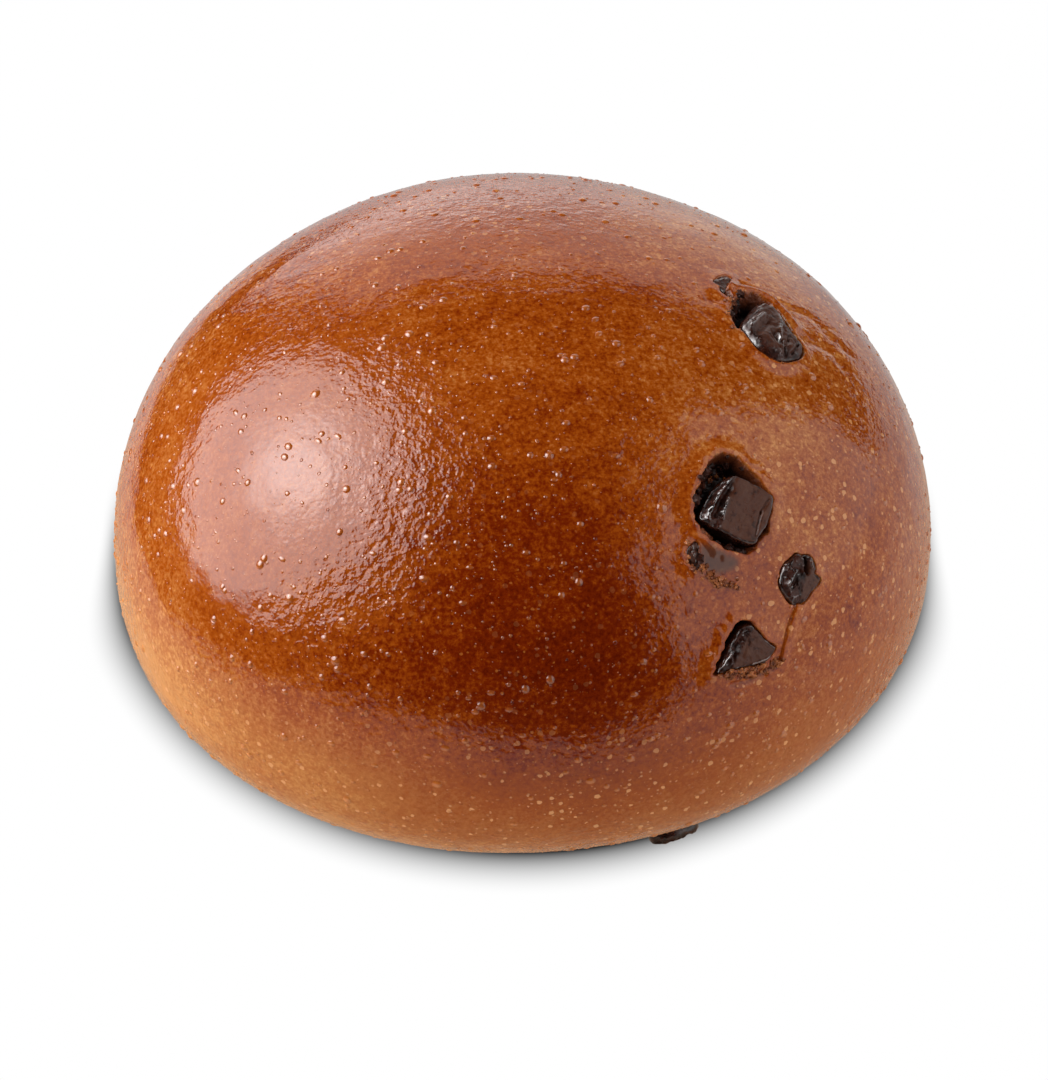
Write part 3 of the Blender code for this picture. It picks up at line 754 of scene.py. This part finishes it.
glazed_crust = new_material("egg-washed crust")
tree = glazed_crust.node_tree
place = add_node(tree, "ShaderNodeTexCoord").outputs["Object"]
sideways, backward, height_above_tray = add_node(tree, "ShaderNodeSeparateXYZ", Vector=place).outputs
torn_share = attribute(tree, "torn")
away = distance_from(tree, DEEPEST_BROWN_AND_SHADE_AT)
mottle = clouds(tree, place, MOTTLE, 4.0, 0.6)
fine_grain = clouds(tree, place, GRAIN, 4.0, 0.7)
# The browns start deepest round the front shoulder, partly as painted shade.
baked = fade(tree, away, DEEP_BROWN_AND_SHADE_REACH, 0.1 * DEEP_BROWN_AND_SHADE_REACH, 0.43, 0.81)
marbled = fade(tree, height_above_tray, 20 * MM, 34 * MM, 0.38, 1.0)
for spot, reach in EVENLY_BAKED_AT:
    evener = fade(tree, distance_from(tree, spot), reach, reach / 2, 1.0, 0.5)
    marbled = calculate(tree, "MULTIPLY", marbled, evener)
for noise_share, weight in ((clouds(tree, place, BAKED_PATCH), 0.42), (mottle, 0.60), (fine_grain, 1.35)):
    swing = calculate(tree, "SUBTRACT", noise_share, 0.5)
    baked = calculate(tree, "ADD", baked, calculate(tree, "MULTIPLY", swing, weight, marbled))
# Lower down the crust is paler, being less baked there; the paling is far stronger on the left, lit side than
# on the right, and that difference is painted light.
paler = fade(tree, height_above_tray, 35 * MM, 19 * MM, 0.0, 0.31)
paler = calculate(tree, "ADD", paler, fade(tree, height_above_tray, 16 * MM, 5 * MM, 0.0, 0.38))
paler = calculate(tree, "MULTIPLY", paler, fade(tree, sideways, -34 * MM, 30 * MM, 1.05, 0.12))
baked = calculate(tree, "SUBTRACT", baked, paler)
# Bands across the bun: paler just right of the middle, browner far to the right and paler far to the left.
# The paler left and browner right are painted light and shade, for the soft box lights the left.
for start_mm, end_mm, paler_by in ((6, 18, 0.18), (24, 40, -0.12), (-26, -44, 0.10)):
    paler = fade(tree, sideways, start_mm * MM, end_mm * MM, 0.0, paler_by)
    baked = calculate(tree, "SUBTRACT", baked, paler)
for spot, reach, browner_by in BAKED_AT:
    baked = calculate(tree, "ADD", baked, fade(tree, distance_from(tree, spot), reach, 0.0, 0.0, browner_by))
browns = add_node(tree, "ShaderNodeValToRGB", Fac=baked)
ramp = browns.color_ramp
ramp.elements[0].position, ramp.elements[0].color = 0.0, linear(CRUST_PALE)
ramp.elements[1].position, ramp.elements[1].color = 1.0, linear(CRUST_DEEPEST)
ramp.elements.new(0.15).color = linear(CRUST_TAN)
ramp.elements.new(0.38).color = linear(CRUST_AMBER)
ramp.elements.new(0.72).color = linear(CRUST_DEEP)

low = fade(tree, height_above_tray, 34 * MM, 18 * MM, 0.08, 0.95)
for value, start, end, share in ((sideways, 16 * MM, 30 * MM, 0.8), (backward, -4 * MM, 14 * MM, 0.55)):
    low = calculate(tree, "MAXIMUM", low, fade(tree, value, start, end, 0.0, share))
high = fade(tree, height_above_tray, 18 * MM, 36 * MM, 0.0, 0.55)
wander = add_node(tree, "ShaderNodeTexNoise", Vector=place, Scale=1 / GRAIN, Detail=1.0).outputs["Color"]
off = add_node(tree, "ShaderNodeVectorMath", {"operation": "SCALE"}, Vector=wander, Scale=SPECK_JOG)
jogged = add_node(tree, "ShaderNodeVectorMath", {"operation": "ADD"}, Vector=place, Vector__2=off.outputs[0])
jogged = jogged.outputs[0]
speck = spots(tree, jogged, SPECK_SPACING, 0.0, 0.30, 0.05)
mark = spots(tree, place, MARK_SPACING, 0.45, 0.15, 0.05, channel=2)
pinprick = spots(tree, place, FINE_SPECK_SPACING, 0.52, 0.27, 0.16)
small_speck = spots(tree, jogged, 0.8 * FINE_SPECK_SPACING, 0.45, 0.28, 0.12)
amber_speck = calculate(tree, "MAXIMUM", small_speck, pinprick)
for smaller, share in ((pinprick, 0.75), (small_speck, 0.65)):
    speck = calculate(tree, "MAXIMUM", speck, calculate(tree, "MULTIPLY", smaller, share))
pit = spots(tree, place, PIT_SPACING, 0.72, 0.09, 0.05, channel=1)
underneath = fade(tree, height_above_tray, 1.2 * MM, 0.1 * MM, 0.0, 1.0)
blister, film = attribute(tree, "blister"), attribute(tree, "film")
blister_shows = fade(tree, height_above_tray, 32 * MM, 18 * MM, 0.35, 0.75)
# The bare crumb darkens with depth in the hollows, almost to black: partly chocolate smeared there, partly
# painted shade.
deep_in = fade(tree, attribute(tree, "hollow"), 0.15, 0.7, 0.0, 1.0)
bare_crumb = blend_colour(tree, deep_in, linear(CRUMB_TORN), linear(HOLLOW_DARK))
colour = browns.outputs["Color"]
for share, part_of_it, laid_over in (
    (amber_speck, high, linear(SPECK_AMBER)),
    (speck, low, linear(SPECK_TAN)),
    (blister, blister_shows, linear(BLISTER_TAN)),
    (pit, 0.8, linear(PIT_SHADE_BROWN)),
    (film, 0.85, linear(FILM_GREY)),
    (torn_share, 1.0, bare_crumb),
    (underneath, 1.0, linear(UNDERSIDE_BROWN)),
):
    colour = blend_colour(tree, calculate(tree, "MULTIPLY", share, part_of_it), colour, laid_over)

# Two layers of relief: the puckered skin, by an unevenness that changes slowly, then what stands on it.
unevenly = fade(tree, clouds(tree, place, 1.4 * BAKED_PATCH), 0.35, 0.65, 0.5, 1.2)
low_down = fade(tree, height_above_tray, 35 * MM, 26 * MM, 1.0, LOW_PUCKERS)
unevenly = calculate(tree, "MULTIPLY", unevenly, low_down)
for spot, reach, extra in PUCKERED_AT:
    unevenly = calculate(tree, "ADD", unevenly, fade(tree, distance_from(tree, spot), reach, 0.0, 0.0, extra))
smoother = fade(tree, blister, 0.0, 0.12, 1.0, 0.0)
smoother = calculate(tree, "MULTIPLY", smoother, fade(tree, film, 0.0, 1.0, 1.0, 0.2))
unevenly = calculate(tree, "MULTIPLY", unevenly, smoother)
puckers = calculate(tree, "MULTIPLY", clouds(tree, place, FINE_PUCKER, 1.0), FINE_PUCKER_UM)
coarse = calculate(tree, "MULTIPLY", clouds(tree, place, COARSE_PUCKER, 2.0), COARSE_PUCKER_UM)
pebbles = add_node(tree, "ShaderNodeTexVoronoi", Vector=place, Scale=1 / PEBBLE).outputs["Distance"]
puckers = calculate(tree, "ADD", puckers, coarse)
puckers = calculate(tree, "SUBTRACT", puckers, calculate(tree, "MULTIPLY", pebbles, PEBBLE_UM))
skin = add_node(tree, "ShaderNodeBump", Distance=calculate(tree, "MULTIPLY", unevenly, UM), Height=puckers)
grit = calculate(tree, "MULTIPLY", clouds(tree, place, GRAIN, 2.0, 0.7), CRUMB_UM)
standing = calculate(tree, "MULTIPLY", grit, torn_share)
for height, sized in ((pinprick, PINPRICK_BLISTER_UM), (mark, MARK_UM), (pit, -PIT_UM)):
    standing = calculate(tree, "ADD", standing, calculate(tree, "MULTIPLY", height, sized))
unit = calculate(tree, "MULTIPLY", smoother, UM)
bump = add_node(tree, "ShaderNodeBump", Distance=unit, Height=standing, Normal=skin.outputs["Normal"])
bare = calculate(tree, "MAXIMUM", calculate(tree, "MULTIPLY", torn_share, 0.55), underneath)
by_the_foot = (tree, height_above_tray, 16 * MM, 3 * MM)
gloss = calculate(tree, "ADD", calculate(tree, "MULTIPLY", mottle, 0.06), fade(*by_the_foot, 0.05, 0.28))
raised = calculate(tree, "MAXIMUM", blister, calculate(tree, "MULTIPLY", pinprick, 0.5))
shine = calculate(tree, "ADD", calculate(tree, "MULTIPLY", raised, 0.8), fade(*by_the_foot, 0.5, 0.28))
shader = add_node(
    tree,
    "ShaderNodeBsdfPrincipled",
    Base_Color=colour,
    Roughness=calculate(tree, "MAXIMUM", gloss, calculate(tree, "MULTIPLY", bare, 0.7)),
    IOR=1.5,
    Specular_IOR_Level=shine,
    Normal=bump.outputs["Normal"],
)
add_node(tree, "ShaderNodeOutputMaterial", Surface=shader.outputs[0])
crust = add_piece("crust", crust_mesh, "bun", glazed_crust)


# The blisters. Gas under the egg wash lifts it into small paler domes, all over but never evenly:
# most are finer than a pinhead, a few over a millimetre across.
# Each kind has how many a square metre, its radii, the sides and rings of a dome, a seed, and the heights
# above the tray between which it lies. The largest gather where the bun's side turns up from the tray.
BLISTER_KINDS = {
    "blisters": (200_000, (0.12 * MM, 0.66 * MM), (10, 3), 7, (6 * MM, 80 * MM)),
    "fine_blisters": (330_000, (0.08 * MM, 0.20 * MM), (7, 2), 31, (6 * MM, 80 * MM)),
    "large_blisters": (22_000, (0.36 * MM, 0.60 * MM), (16, 5), 53, (15 * MM, 34 * MM)),
}
BLISTER_RISE = 0.42
BLISTER_SUNK = 0.08
# They crowd and thin out over about this distance.
CROWDING_PITCH = 7 * MM


def open_tree(name, labels):
    """(tree, inputs) of new Geometry Nodes that take a mesh and a number for each label."""
    tree = bpy.data.node_groups.new(name, "GeometryNodeTree")
    tree.interface.new_socket(name="Geometry", in_out="INPUT", socket_type="NodeSocketGeometry")
    for label in labels:
        tree.interface.new_socket(name=label, in_out="INPUT", socket_type="NodeSocketFloat")
    tree.interface.new_socket(name="Geometry", in_out="OUTPUT", socket_type="NodeSocketGeometry")
    return tree, tree.nodes.new("NodeGroupInput").outputs


def close_tree(tree, instances, smooth, surface):
    """Makes the instances real, and hands them out shaded and in their material."""
    real = add_node(tree, "GeometryNodeRealizeInstances", Geometry=instances)
    shaded = add_node(tree, "GeometryNodeSetShadeSmooth", Geometry=real.outputs[0], Shade_Smooth=smooth)
    finished = add_node(tree, "GeometryNodeSetMaterial", Geometry=shaded.outputs[0], Material=surface)
    tree.links.new(finished.outputs[0], tree.nodes.new("NodeGroupOutput").inputs[0])


def grown_from(carrier_mesh, tree, sizes):
    """The plain mesh that a tree of Geometry Nodes makes from a mesh, with its named sizes set."""
    carrier = bpy.data.objects.new(tree.name + "_carrier", carrier_mesh)
    bpy.context.scene.collection.objects.link(carrier)
    modifier = carrier.modifiers.new(tree.name, "NODES")
    modifier.node_group = tree
    for item in tree.interface.items_tree:
        if item.in_out == "INPUT" and item.name in sizes:
            modifier[item.identifier] = float(sizes[item.name])
    graph = bpy.context.evaluated_depsgraph_get()
    mesh = bpy.data.meshes.new_from_object(carrier.evaluated_get(graph), depsgraph=graph)
    bpy.data.objects.remove(carrier)
    mesh.name = tree.name
    return mesh


def random_share(tree, seed, low=0.0, high=1.0):
    """A number drawn for each point."""
    draw = {"Min": low, "Max": high, "Seed": seed}
    return result(add_node(tree, "FunctionNodeRandomValue", {"data_type": "FLOAT"}, **draw))


def drawn_size(tree, given, seed, power):
    """A size drawn between the smallest and the largest, and the greater the power the oftener small."""
    skewed = calculate(tree, "POWER", random_share(tree, seed), power)
    ends = {"To_Min": given["Smallest"], "To_Max": given["Largest"]}
    return add_node(tree, "ShaderNodeMapRange", Value=skewed, **ends).outputs[0]


def blister_dome(tree, sides, rings):
    """A low dome of unit radius, sunk a little at its rim, whose attribute blister is 1 at its top."""
    shape = {"Vertices": sides, "Side_Segments": rings, "Radius_Top": 0.0, "Radius_Bottom": 1.0, "Depth": 1.0}
    cone = add_node(tree, "GeometryNodeMeshCone", {"fill_type": "NONE"}, **shape).outputs["Mesh"]
    position = add_node(tree, "GeometryNodeInputPosition").outputs[0]
    x, y, _ = add_node(tree, "ShaderNodeSeparateXYZ", Vector=position).outputs
    out = calculate(tree, "ADD", calculate(tree, "POWER", x, 2.0), calculate(tree, "POWER", y, 2.0))
    inside = calculate(tree, "MAXIMUM", calculate(tree, "SUBTRACT", 1.0, out), 0.0)
    rise = calculate(tree, "POWER", inside, 0.9)
    settings = {"data_type": "FLOAT", "domain": "POINT"}
    marked = add_node(
        tree, "GeometryNodeStoreNamedAttribute", settings, Geometry=cone, Name="blister", Value=rise
    ).outputs[0]
    lifted = calculate(tree, "SUBTRACT", calculate(tree, "MULTIPLY", rise, BLISTER_RISE), BLISTER_SUNK)
    spot = add_node(tree, "ShaderNodeCombineXYZ", X=x, Y=y, Z=lifted).outputs[0]
    return add_node(tree, "GeometryNodeSetPosition", Geometry=marked, Position=spot).outputs[0]


def sound_crust(tree, above, lowest, highest):
    """1 where the skin is whole and lies between two heights above the tray, and 0 elsewhere."""
    broken = [
        result(add_node(tree, "GeometryNodeInputNamedAttribute", {"data_type": "FLOAT"}, Name=name))
        for name in ("torn", "film")
    ]
    whole = calculate(tree, "LESS_THAN", calculate(tree, "ADD", *broken), 0.02)
    high_enough = calculate(tree, "GREATER_THAN", above, lowest)
    return calculate(tree, "MULTIPLY", whole, high_enough, calculate(tree, "LESS_THAN", above, highest))


def scattered_blisters(name, per_square_m, radii, sides_and_rings, seed, heights):
    """A mesh of blisters strewn over the sound crust."""
    tree, given = open_tree(name, ("Per square metre", "Smallest", "Largest"))
    position = add_node(tree, "GeometryNodeInputPosition").outputs[0]
    above = add_node(tree, "ShaderNodeSeparateXYZ", Vector=position).outputs[2]
    crowding = clouds(tree, position, CROWDING_PITCH, 2.0)
    density = fade(tree, crowding, 0.30, 0.72, 0.25, 1.9)
    dots = add_node(
        tree,
        "GeometryNodeDistributePointsOnFaces",
        {"distribute_method": "RANDOM"},
        Mesh=given["Geometry"],
        Selection=sound_crust(tree, above, *heights),
        Density=calculate(tree, "MULTIPLY", density, given["Per square metre"]),
        Seed=seed,
    )
    radius = drawn_size(tree, given, seed + 1, 4.0)
    narrower = calculate(tree, "MULTIPLY", radius, random_share(tree, seed + 2, 0.55, 1.15))
    size = add_node(tree, "ShaderNodeCombineXYZ", X=radius, Y=narrower, Z=narrower)
    placed = add_node(
        tree,
        "GeometryNodeInstanceOnPoints",
        Points=dots.outputs["Points"],
        Instance=blister_dome(tree, *sides_and_rings),
        Rotation=dots.outputs["Rotation"],
        Scale=size.outputs[0],
    )
    close_tree(tree, placed.outputs[0], True, glazed_crust)
    sizes = {"Per square metre": per_square_m, "Smallest": radii[0], "Largest": radii[1]}
    return grown_from(crust.data, tree, sizes)


for name, kind in BLISTER_KINDS.items():
    add_piece(name, scattered_blisters(name, *kind), None, glazed_crust)


# The crumbs. Along the torn edges the dough came away in small lumps, some toasted tan and some stained
# by the chocolate, and baked on where they fell.
CRUMB_TRAILS = (
    ((-49.6, 43.4), ((1.0, 4.8), (2.3, 4.0), (3.2, 2.8), (4.0, 2.1), (4.7, 0.9)), 16),
    ((-49.6, 43.4), ((-4.4, 0.1), (-3.4, -1.4), (-2.2, -2.9), (-1.0, -4.2)), 22),
    ((-60.3, 39.7),
     ((-0.3, 0.6), (-0.2, -1.1), (0.3, -1.9), (0.8, -2.8), (1.5, -3.5), (2.7, -4.2), (4.0, -4.9)), 90),
    ((-56.4, 21.9), ((-3.1, -2.1), (-1.5, -2.5), (0.2, -2.9), (1.9, -3.0), (3.7, -2.9)), 80),
    ((-6.1, 57.2), ((-2.1, 3.6), (-0.5, 5.1), (1.7, 5.3), (3.9, 4.9), (5.2, 3.6)), 22),
    ((60.0, 24.0), ((3.9, 3.6), (0.2, 5.0), (-3.6, 4.0), (-4.5, 1.6)), 24),
    ((141.0, 17.0), ((4.9, 3.0), (2.6, 4.4), (-1.0, 3.6)), 18),
)
# Chocolate that broke into the gaps: trails in the same form.
SPLINTER_TRAILS = (
    ((-49.6, 43.4), ((-3.5, 2.2), (-2.7, 3.4), (-1.2, 4.6), (0.6, 5.3), (2.0, 5.0), (3.0, 4.0)), 60),
    ((-49.6, 43.4), ((-3.4, -1.6), (-1.8, -3.2), (-0.6, -4.3)), 34),
    ((-6.1, 57.2), ((0.2, 4.6), (1.6, 4.6), (3.4, 4.3), (4.6, 3.2)), 30),
    ((-60.3, 39.7), ((0.2, 0.9), (-0.3, -1.2)), 14),
)
CRUMB_SPREAD = 0.34 * MM
CRUMB_RADII = (0.12 * MM, 0.40 * MM)
SPLINTER_RADII = (0.25 * MM, 0.75 * MM)
CRUMB_TAN = "#C0703A"
CRUMB_STAINED = "#84431F"


def trail_mesh(trails, surface):
    """Dots laid on the crust near each trail, as loose vertices."""
    rng = np.random.default_rng(11)
    depths = BVHTree.FromPolygons([v.co for v in surface.vertices], [p.vertices for p in surface.polygons])
    dots = []
    for place, path, count in trails:
        centre, axes = frame_at(place)
        path = np.array(path) * MM
        run = np.concatenate([[0], np.cumsum(np.linalg.norm(np.diff(path, axis=0), axis=1))])
        for step in rng.uniform(0, run[-1], count):
            flat = np.array([np.interp(step, run, path[:, 0]), np.interp(step, run, path[:, 1])])
            flat += rng.normal(0, CRUMB_SPREAD, 2)
            start = centre + axes @ np.array([*flat, 5 * MM])
            landed = depths.ray_cast(Vector(start), Vector(-axes[:, 2]), 20 * MM)[0]
            if landed:
                dots.append(landed)
    mesh = bpy.data.meshes.new("crumb_dots")
    mesh.from_pydata(dots, [], [])
    return mesh


def lump_tree(name, surface, smooth):
    """A lump at each vertex, turned and sized at random: round, or angular like a splinter."""
    tree, given = open_tree(name, ("Smallest", "Largest"))
    ball = add_node(tree, "GeometryNodeMeshIcoSphere", Radius=1.0, Subdivisions=3 if smooth else 2)
    at = add_node(tree, "GeometryNodeInputPosition").outputs[0]
    lumps = add_node(tree, "ShaderNodeTexNoise", Vector=at, Scale=1.1, Detail=3.0).outputs["Color"]
    half = (0.5, 0.5, 0.5)
    moved = add_node(tree, "ShaderNodeVectorMath", {"operation": "SUBTRACT"}, Vector=lumps, Vector__2=half)
    moved = add_node(tree, "ShaderNodeVectorMath", {"operation": "SCALE"}, Vector=moved.outputs[0], Scale=2.6)
    lump = add_node(tree, "GeometryNodeSetPosition", Geometry=ball.outputs["Mesh"], Offset=moved.outputs[0])
    full_turn = {"Max": (6.28, 6.28, 6.28), "Seed": 5}
    turn = add_node(tree, "FunctionNodeRandomValue", {"data_type": "FLOAT_VECTOR"}, **full_turn)
    placed = add_node(
        tree,
        "GeometryNodeInstanceOnPoints",
        Points=given["Geometry"],
        Instance=lump.outputs[0],
        Rotation=result(turn),
        Scale=drawn_size(tree, given, 3, 2.0),
    )
    coloured = add_node(
        tree,
        "GeometryNodeStoreNamedAttribute",
        {"data_type": "FLOAT", "domain": "INSTANCE"},
        Geometry=placed.outputs[0],
        Name="toast",
        Value=random_share(tree, 9),
    )
    close_tree(tree, coloured.outputs[0], smooth, surface)
    return tree


def strewn(name, trails, radii, surface, smooth):
    """A mesh of lumps along the trails."""
    sizes = {"Smallest": radii[0], "Largest": radii[1]}
    return grown_from(trail_mesh(trails, crust.data), lump_tree(name, surface, smooth), sizes)


torn_crumb = new_material("torn bun crumb")
tree = torn_crumb.node_tree
place = add_node(tree, "ShaderNodeTexCoord").outputs["Object"]
toasted = fade(tree, attribute(tree, "toast"), 0.25, 0.8, 0.0, 1.0)
colour = blend_colour(tree, toasted, linear(CRUMB_STAINED), linear(CRUMB_TAN))
grain_um = calculate(tree, "MULTIPLY", clouds(tree, place, 0.2 * MM, 4.0), 110.0)
bump = add_node(tree, "ShaderNodeBump", Distance=UM, Height=grain_um)
finish = {"Roughness": 0.26, "IOR": 1.5, "Normal": bump.outputs["Normal"]}
shader = add_node(tree, "ShaderNodeBsdfPrincipled", Base_Color=colour, **finish)
add_node(tree, "ShaderNodeOutputMaterial", Surface=shader.outputs[0])
crumbs = strewn("crumbs", CRUMB_TRAILS, CRUMB_RADII, torn_crumb, True)
add_piece("torn_crumbs", crumbs, None, torn_crumb)


# The chocolate. Bake-stable dark chocolate, broken or cut, which softened in the oven without running:
# moulded faces went dull and slumped at their edges, and the broken sides stayed sharp and shiny.
CHOCOLATE_SIDES = 170
CHOCOLATE_FACE_ROWS = 42
CHOCOLATE_WALL_ROWS = 10
SLUMP = 0.08 * MM
SLUMP_PITCH = 1.9 * MM
CHIPPING = 0.20 * MM
CHIPPING_PITCH = 1.0 * MM
CHOCOLATE_DARK = "#1E0A05"
CHOCOLATE_BROWN = "#3E1A0E"
CHOCOLATE_FACE = "#502B1C"
CHOCOLATE_BLOOM = "#66422F"


def evenly_spaced(ring, count):
    """The ring with count points at equal steps along it."""
    closed = np.vstack([ring, ring[:1]])
    run = np.concatenate([[0], np.cumsum(np.linalg.norm(np.diff(closed, axis=0), axis=1))])
    steps = np.linspace(0, run[-1], count, endpoint=False)
    return np.column_stack([np.interp(steps, run, closed[:, 0]), np.interp(steps, run, closed[:, 1])])


def face_height(piece, flat, ring):
    """(height, gleam, inset) at points within a piece's outline: how far it stands out over the crust, how
    much of it is a fresh edge, and how far in from the rim it is, as a share of the rounded edge."""
    bevel = piece["bevel"] * MM
    inside = inside_by(flat, ring)
    inset = np.clip(inside / bevel, 0, 1)
    height = piece["top"] * MM + flat @ np.array(piece["slope"]) - bevel * (1 - np.sqrt(1 - (1 - inset) ** 2))
    gleam = 0.7 * np.exp(-((inside / (0.22 * MM)) ** 2))
    for x0, y0, x1, y1, width, rise in piece["ridges"]:
        path = np.array([(x0, y0), (x1, y1)]) * MM
        away = path_distance(flat, path[:1], path[1:])
        ridge = np.exp(-((away / (width * MM)) ** 2)) * smooth_step(2 * inset)
        height += rise * MM * ridge
        if rise > 0.1:
            gleam = np.maximum(gleam, ridge**2)
    return height, gleam, inset


def moulded_share(piece, local):
    """How much of the surface at each point is a moulded face, and not broken."""
    if "face_from" not in piece:
        return np.full(len(local), 0.7)
    point, direction = piece["face_from"]
    return smooth_step((local[:, :2] - np.array(point) * MM) @ np.array(direction) / (0.5 * MM) + 0.5)


def chocolate_mesh(name, piece):
    ring = evenly_spaced(rounded(piece["outline"]), CHOCOLATE_SIDES)
    centre, axes = frame_at(piece["at"])
    middle_height, middle_gleam, _ = face_height(piece, np.zeros((1, 2)), ring)
    rows, gleams, insets = [np.array([(0, 0, middle_height[0])])], [middle_gleam], [np.ones(1)]
    for share in np.linspace(0, 1, CHOCOLATE_FACE_ROWS + 1)[1:] ** 0.75:
        flat = ring * share
        height, gleam, inset = face_height(piece, flat, ring)
        rows.append(np.column_stack([flat, height]))
        gleams.append(gleam)
        insets.append(inset)
    rim = rows[-1][:, 2]
    for step in np.linspace(0, 1, CHOCOLATE_WALL_ROWS + 1)[1:]:
        down = rim * (1 - step) - piece["depth"] * MM * step
        rows.append(np.column_stack([ring * (1 - 0.30 * step**3), down]))
        gleams.append(0.7 * np.exp(-((8 * step) ** 2)) * np.ones(len(ring)))
        insets.append(np.zeros(len(ring)))
    rows.append(np.array([(0, 0, -piece["depth"] * MM)]))
    local, gleam, inset = np.vstack(rows), np.concatenate([*gleams, [0]]), np.concatenate([*insets, [0]])
    moulded = moulded_share(piece, local) * smooth_step(2 * inset - 0.6)
    chips = 1 - 4 * np.abs(noise_at(local, CHIPPING_PITCH, 6.0))
    chips += 0.5 * (1 - 4 * np.abs(noise_at(local, 0.45 * CHIPPING_PITCH, 9.0)))
    slump = np.stack([noise_at(local, SLUMP_PITCH, 2.0 + i) * SLUMP for i in range(3)], axis=1)
    slump[:, 2] += CHIPPING * chips * (0.42 - 0.34 * moulded)
    gleam = np.maximum(gleam, 0.8 * smooth_step(2 * chips - 1.6) * (1 - moulded))
    placed = centre + (local + slump) @ axes.T
    placed[:, 2] = placed[:, 2].clip(0.3 * MM)

    count = CHOCOLATE_SIDES
    last = len(local) - 1 - count
    faces = []
    for side in range(count):
        after = (side + 1) % count
        faces.append((0, 1 + side, 1 + after))
        for first in range(1, last, count):
            faces.append((first + side, first + count + side, first + count + after, first + after))
        faces.append((last + side, len(local) - 1, last + after))
    mesh = bpy.data.meshes.new(name)
    mesh.from_pydata(placed.tolist(), [], faces)
    mesh.shade_smooth()
    store(mesh, "gleam", gleam)
    store(mesh, "moulded", moulded)
    return mesh


dark_chocolate = new_material("baked dark chocolate")
tree = dark_chocolate.node_tree
place = add_node(tree, "ShaderNodeTexCoord").outputs["Object"]
gleam = attribute(tree, "gleam")
cloudy = fade(tree, clouds(tree, place, 0.9 * MM, 4.0), 0.35, 0.65, 0.0, 1.0)
bloom = clouds(tree, place, 1.2 * MM, 6.0, 0.7)
broken = blend_colour(tree, cloudy, linear(CHOCOLATE_DARK), linear(CHOCOLATE_BROWN))
bloomed = fade(tree, bloom, 0.45, 0.75, 0.0, 0.6)
moulded = blend_colour(tree, bloomed, linear(CHOCOLATE_FACE), linear(CHOCOLATE_BLOOM))
nicks = fade(tree, clouds(tree, place, 0.75 * MM, 4.0, 0.65), 0.53, 0.64, 1.0, 0.15)
colour = blend_colour(tree, calculate(tree, "MULTIPLY", attribute(tree, "moulded"), nicks), broken, moulded)
grain_um = calculate(tree, "MULTIPLY", clouds(tree, place, 0.28 * MM), 30.0)
bump = add_node(tree, "ShaderNodeBump", Distance=UM, Height=grain_um)
dull = fade(tree, bloom, 0.35, 0.7, 0.26, 0.46)
height_above_tray = add_node(tree, "ShaderNodeSeparateXYZ", Vector=place).outputs["Z"]
# Close to the tray the chocolate's gloss is cut, as painted shade: there the piece lies in the bun's shadow.
painted_tray_shade = fade(tree, height_above_tray, 3 * MM, 6 * MM, 0.15, 1.0)
shader = add_node(
    tree,
    "ShaderNodeBsdfPrincipled",
    Base_Color=colour,
    Roughness=calculate(tree, "MULTIPLY", dull, fade(tree, gleam, 0.1, 0.9, 1.0, 0.5)),
    IOR=1.42,
    Specular_IOR_Level=calculate(tree, "MULTIPLY", fade(tree, gleam, 0.1, 0.9, 0.38, 2.6), painted_tray_shade),
    Normal=bump.outputs["Normal"],
)
add_node(tree, "ShaderNodeOutputMaterial", Surface=shader.outputs[0])

for name, piece in PIECES.items():
    add_piece(name, chocolate_mesh(name, piece), "chocolate_" + name, dark_chocolate)
splinters = strewn("splinters", SPLINTER_TRAILS, SPLINTER_RADII, dark_chocolate, False)
add_piece("chocolate_splinters", splinters, None, dark_chocolate)
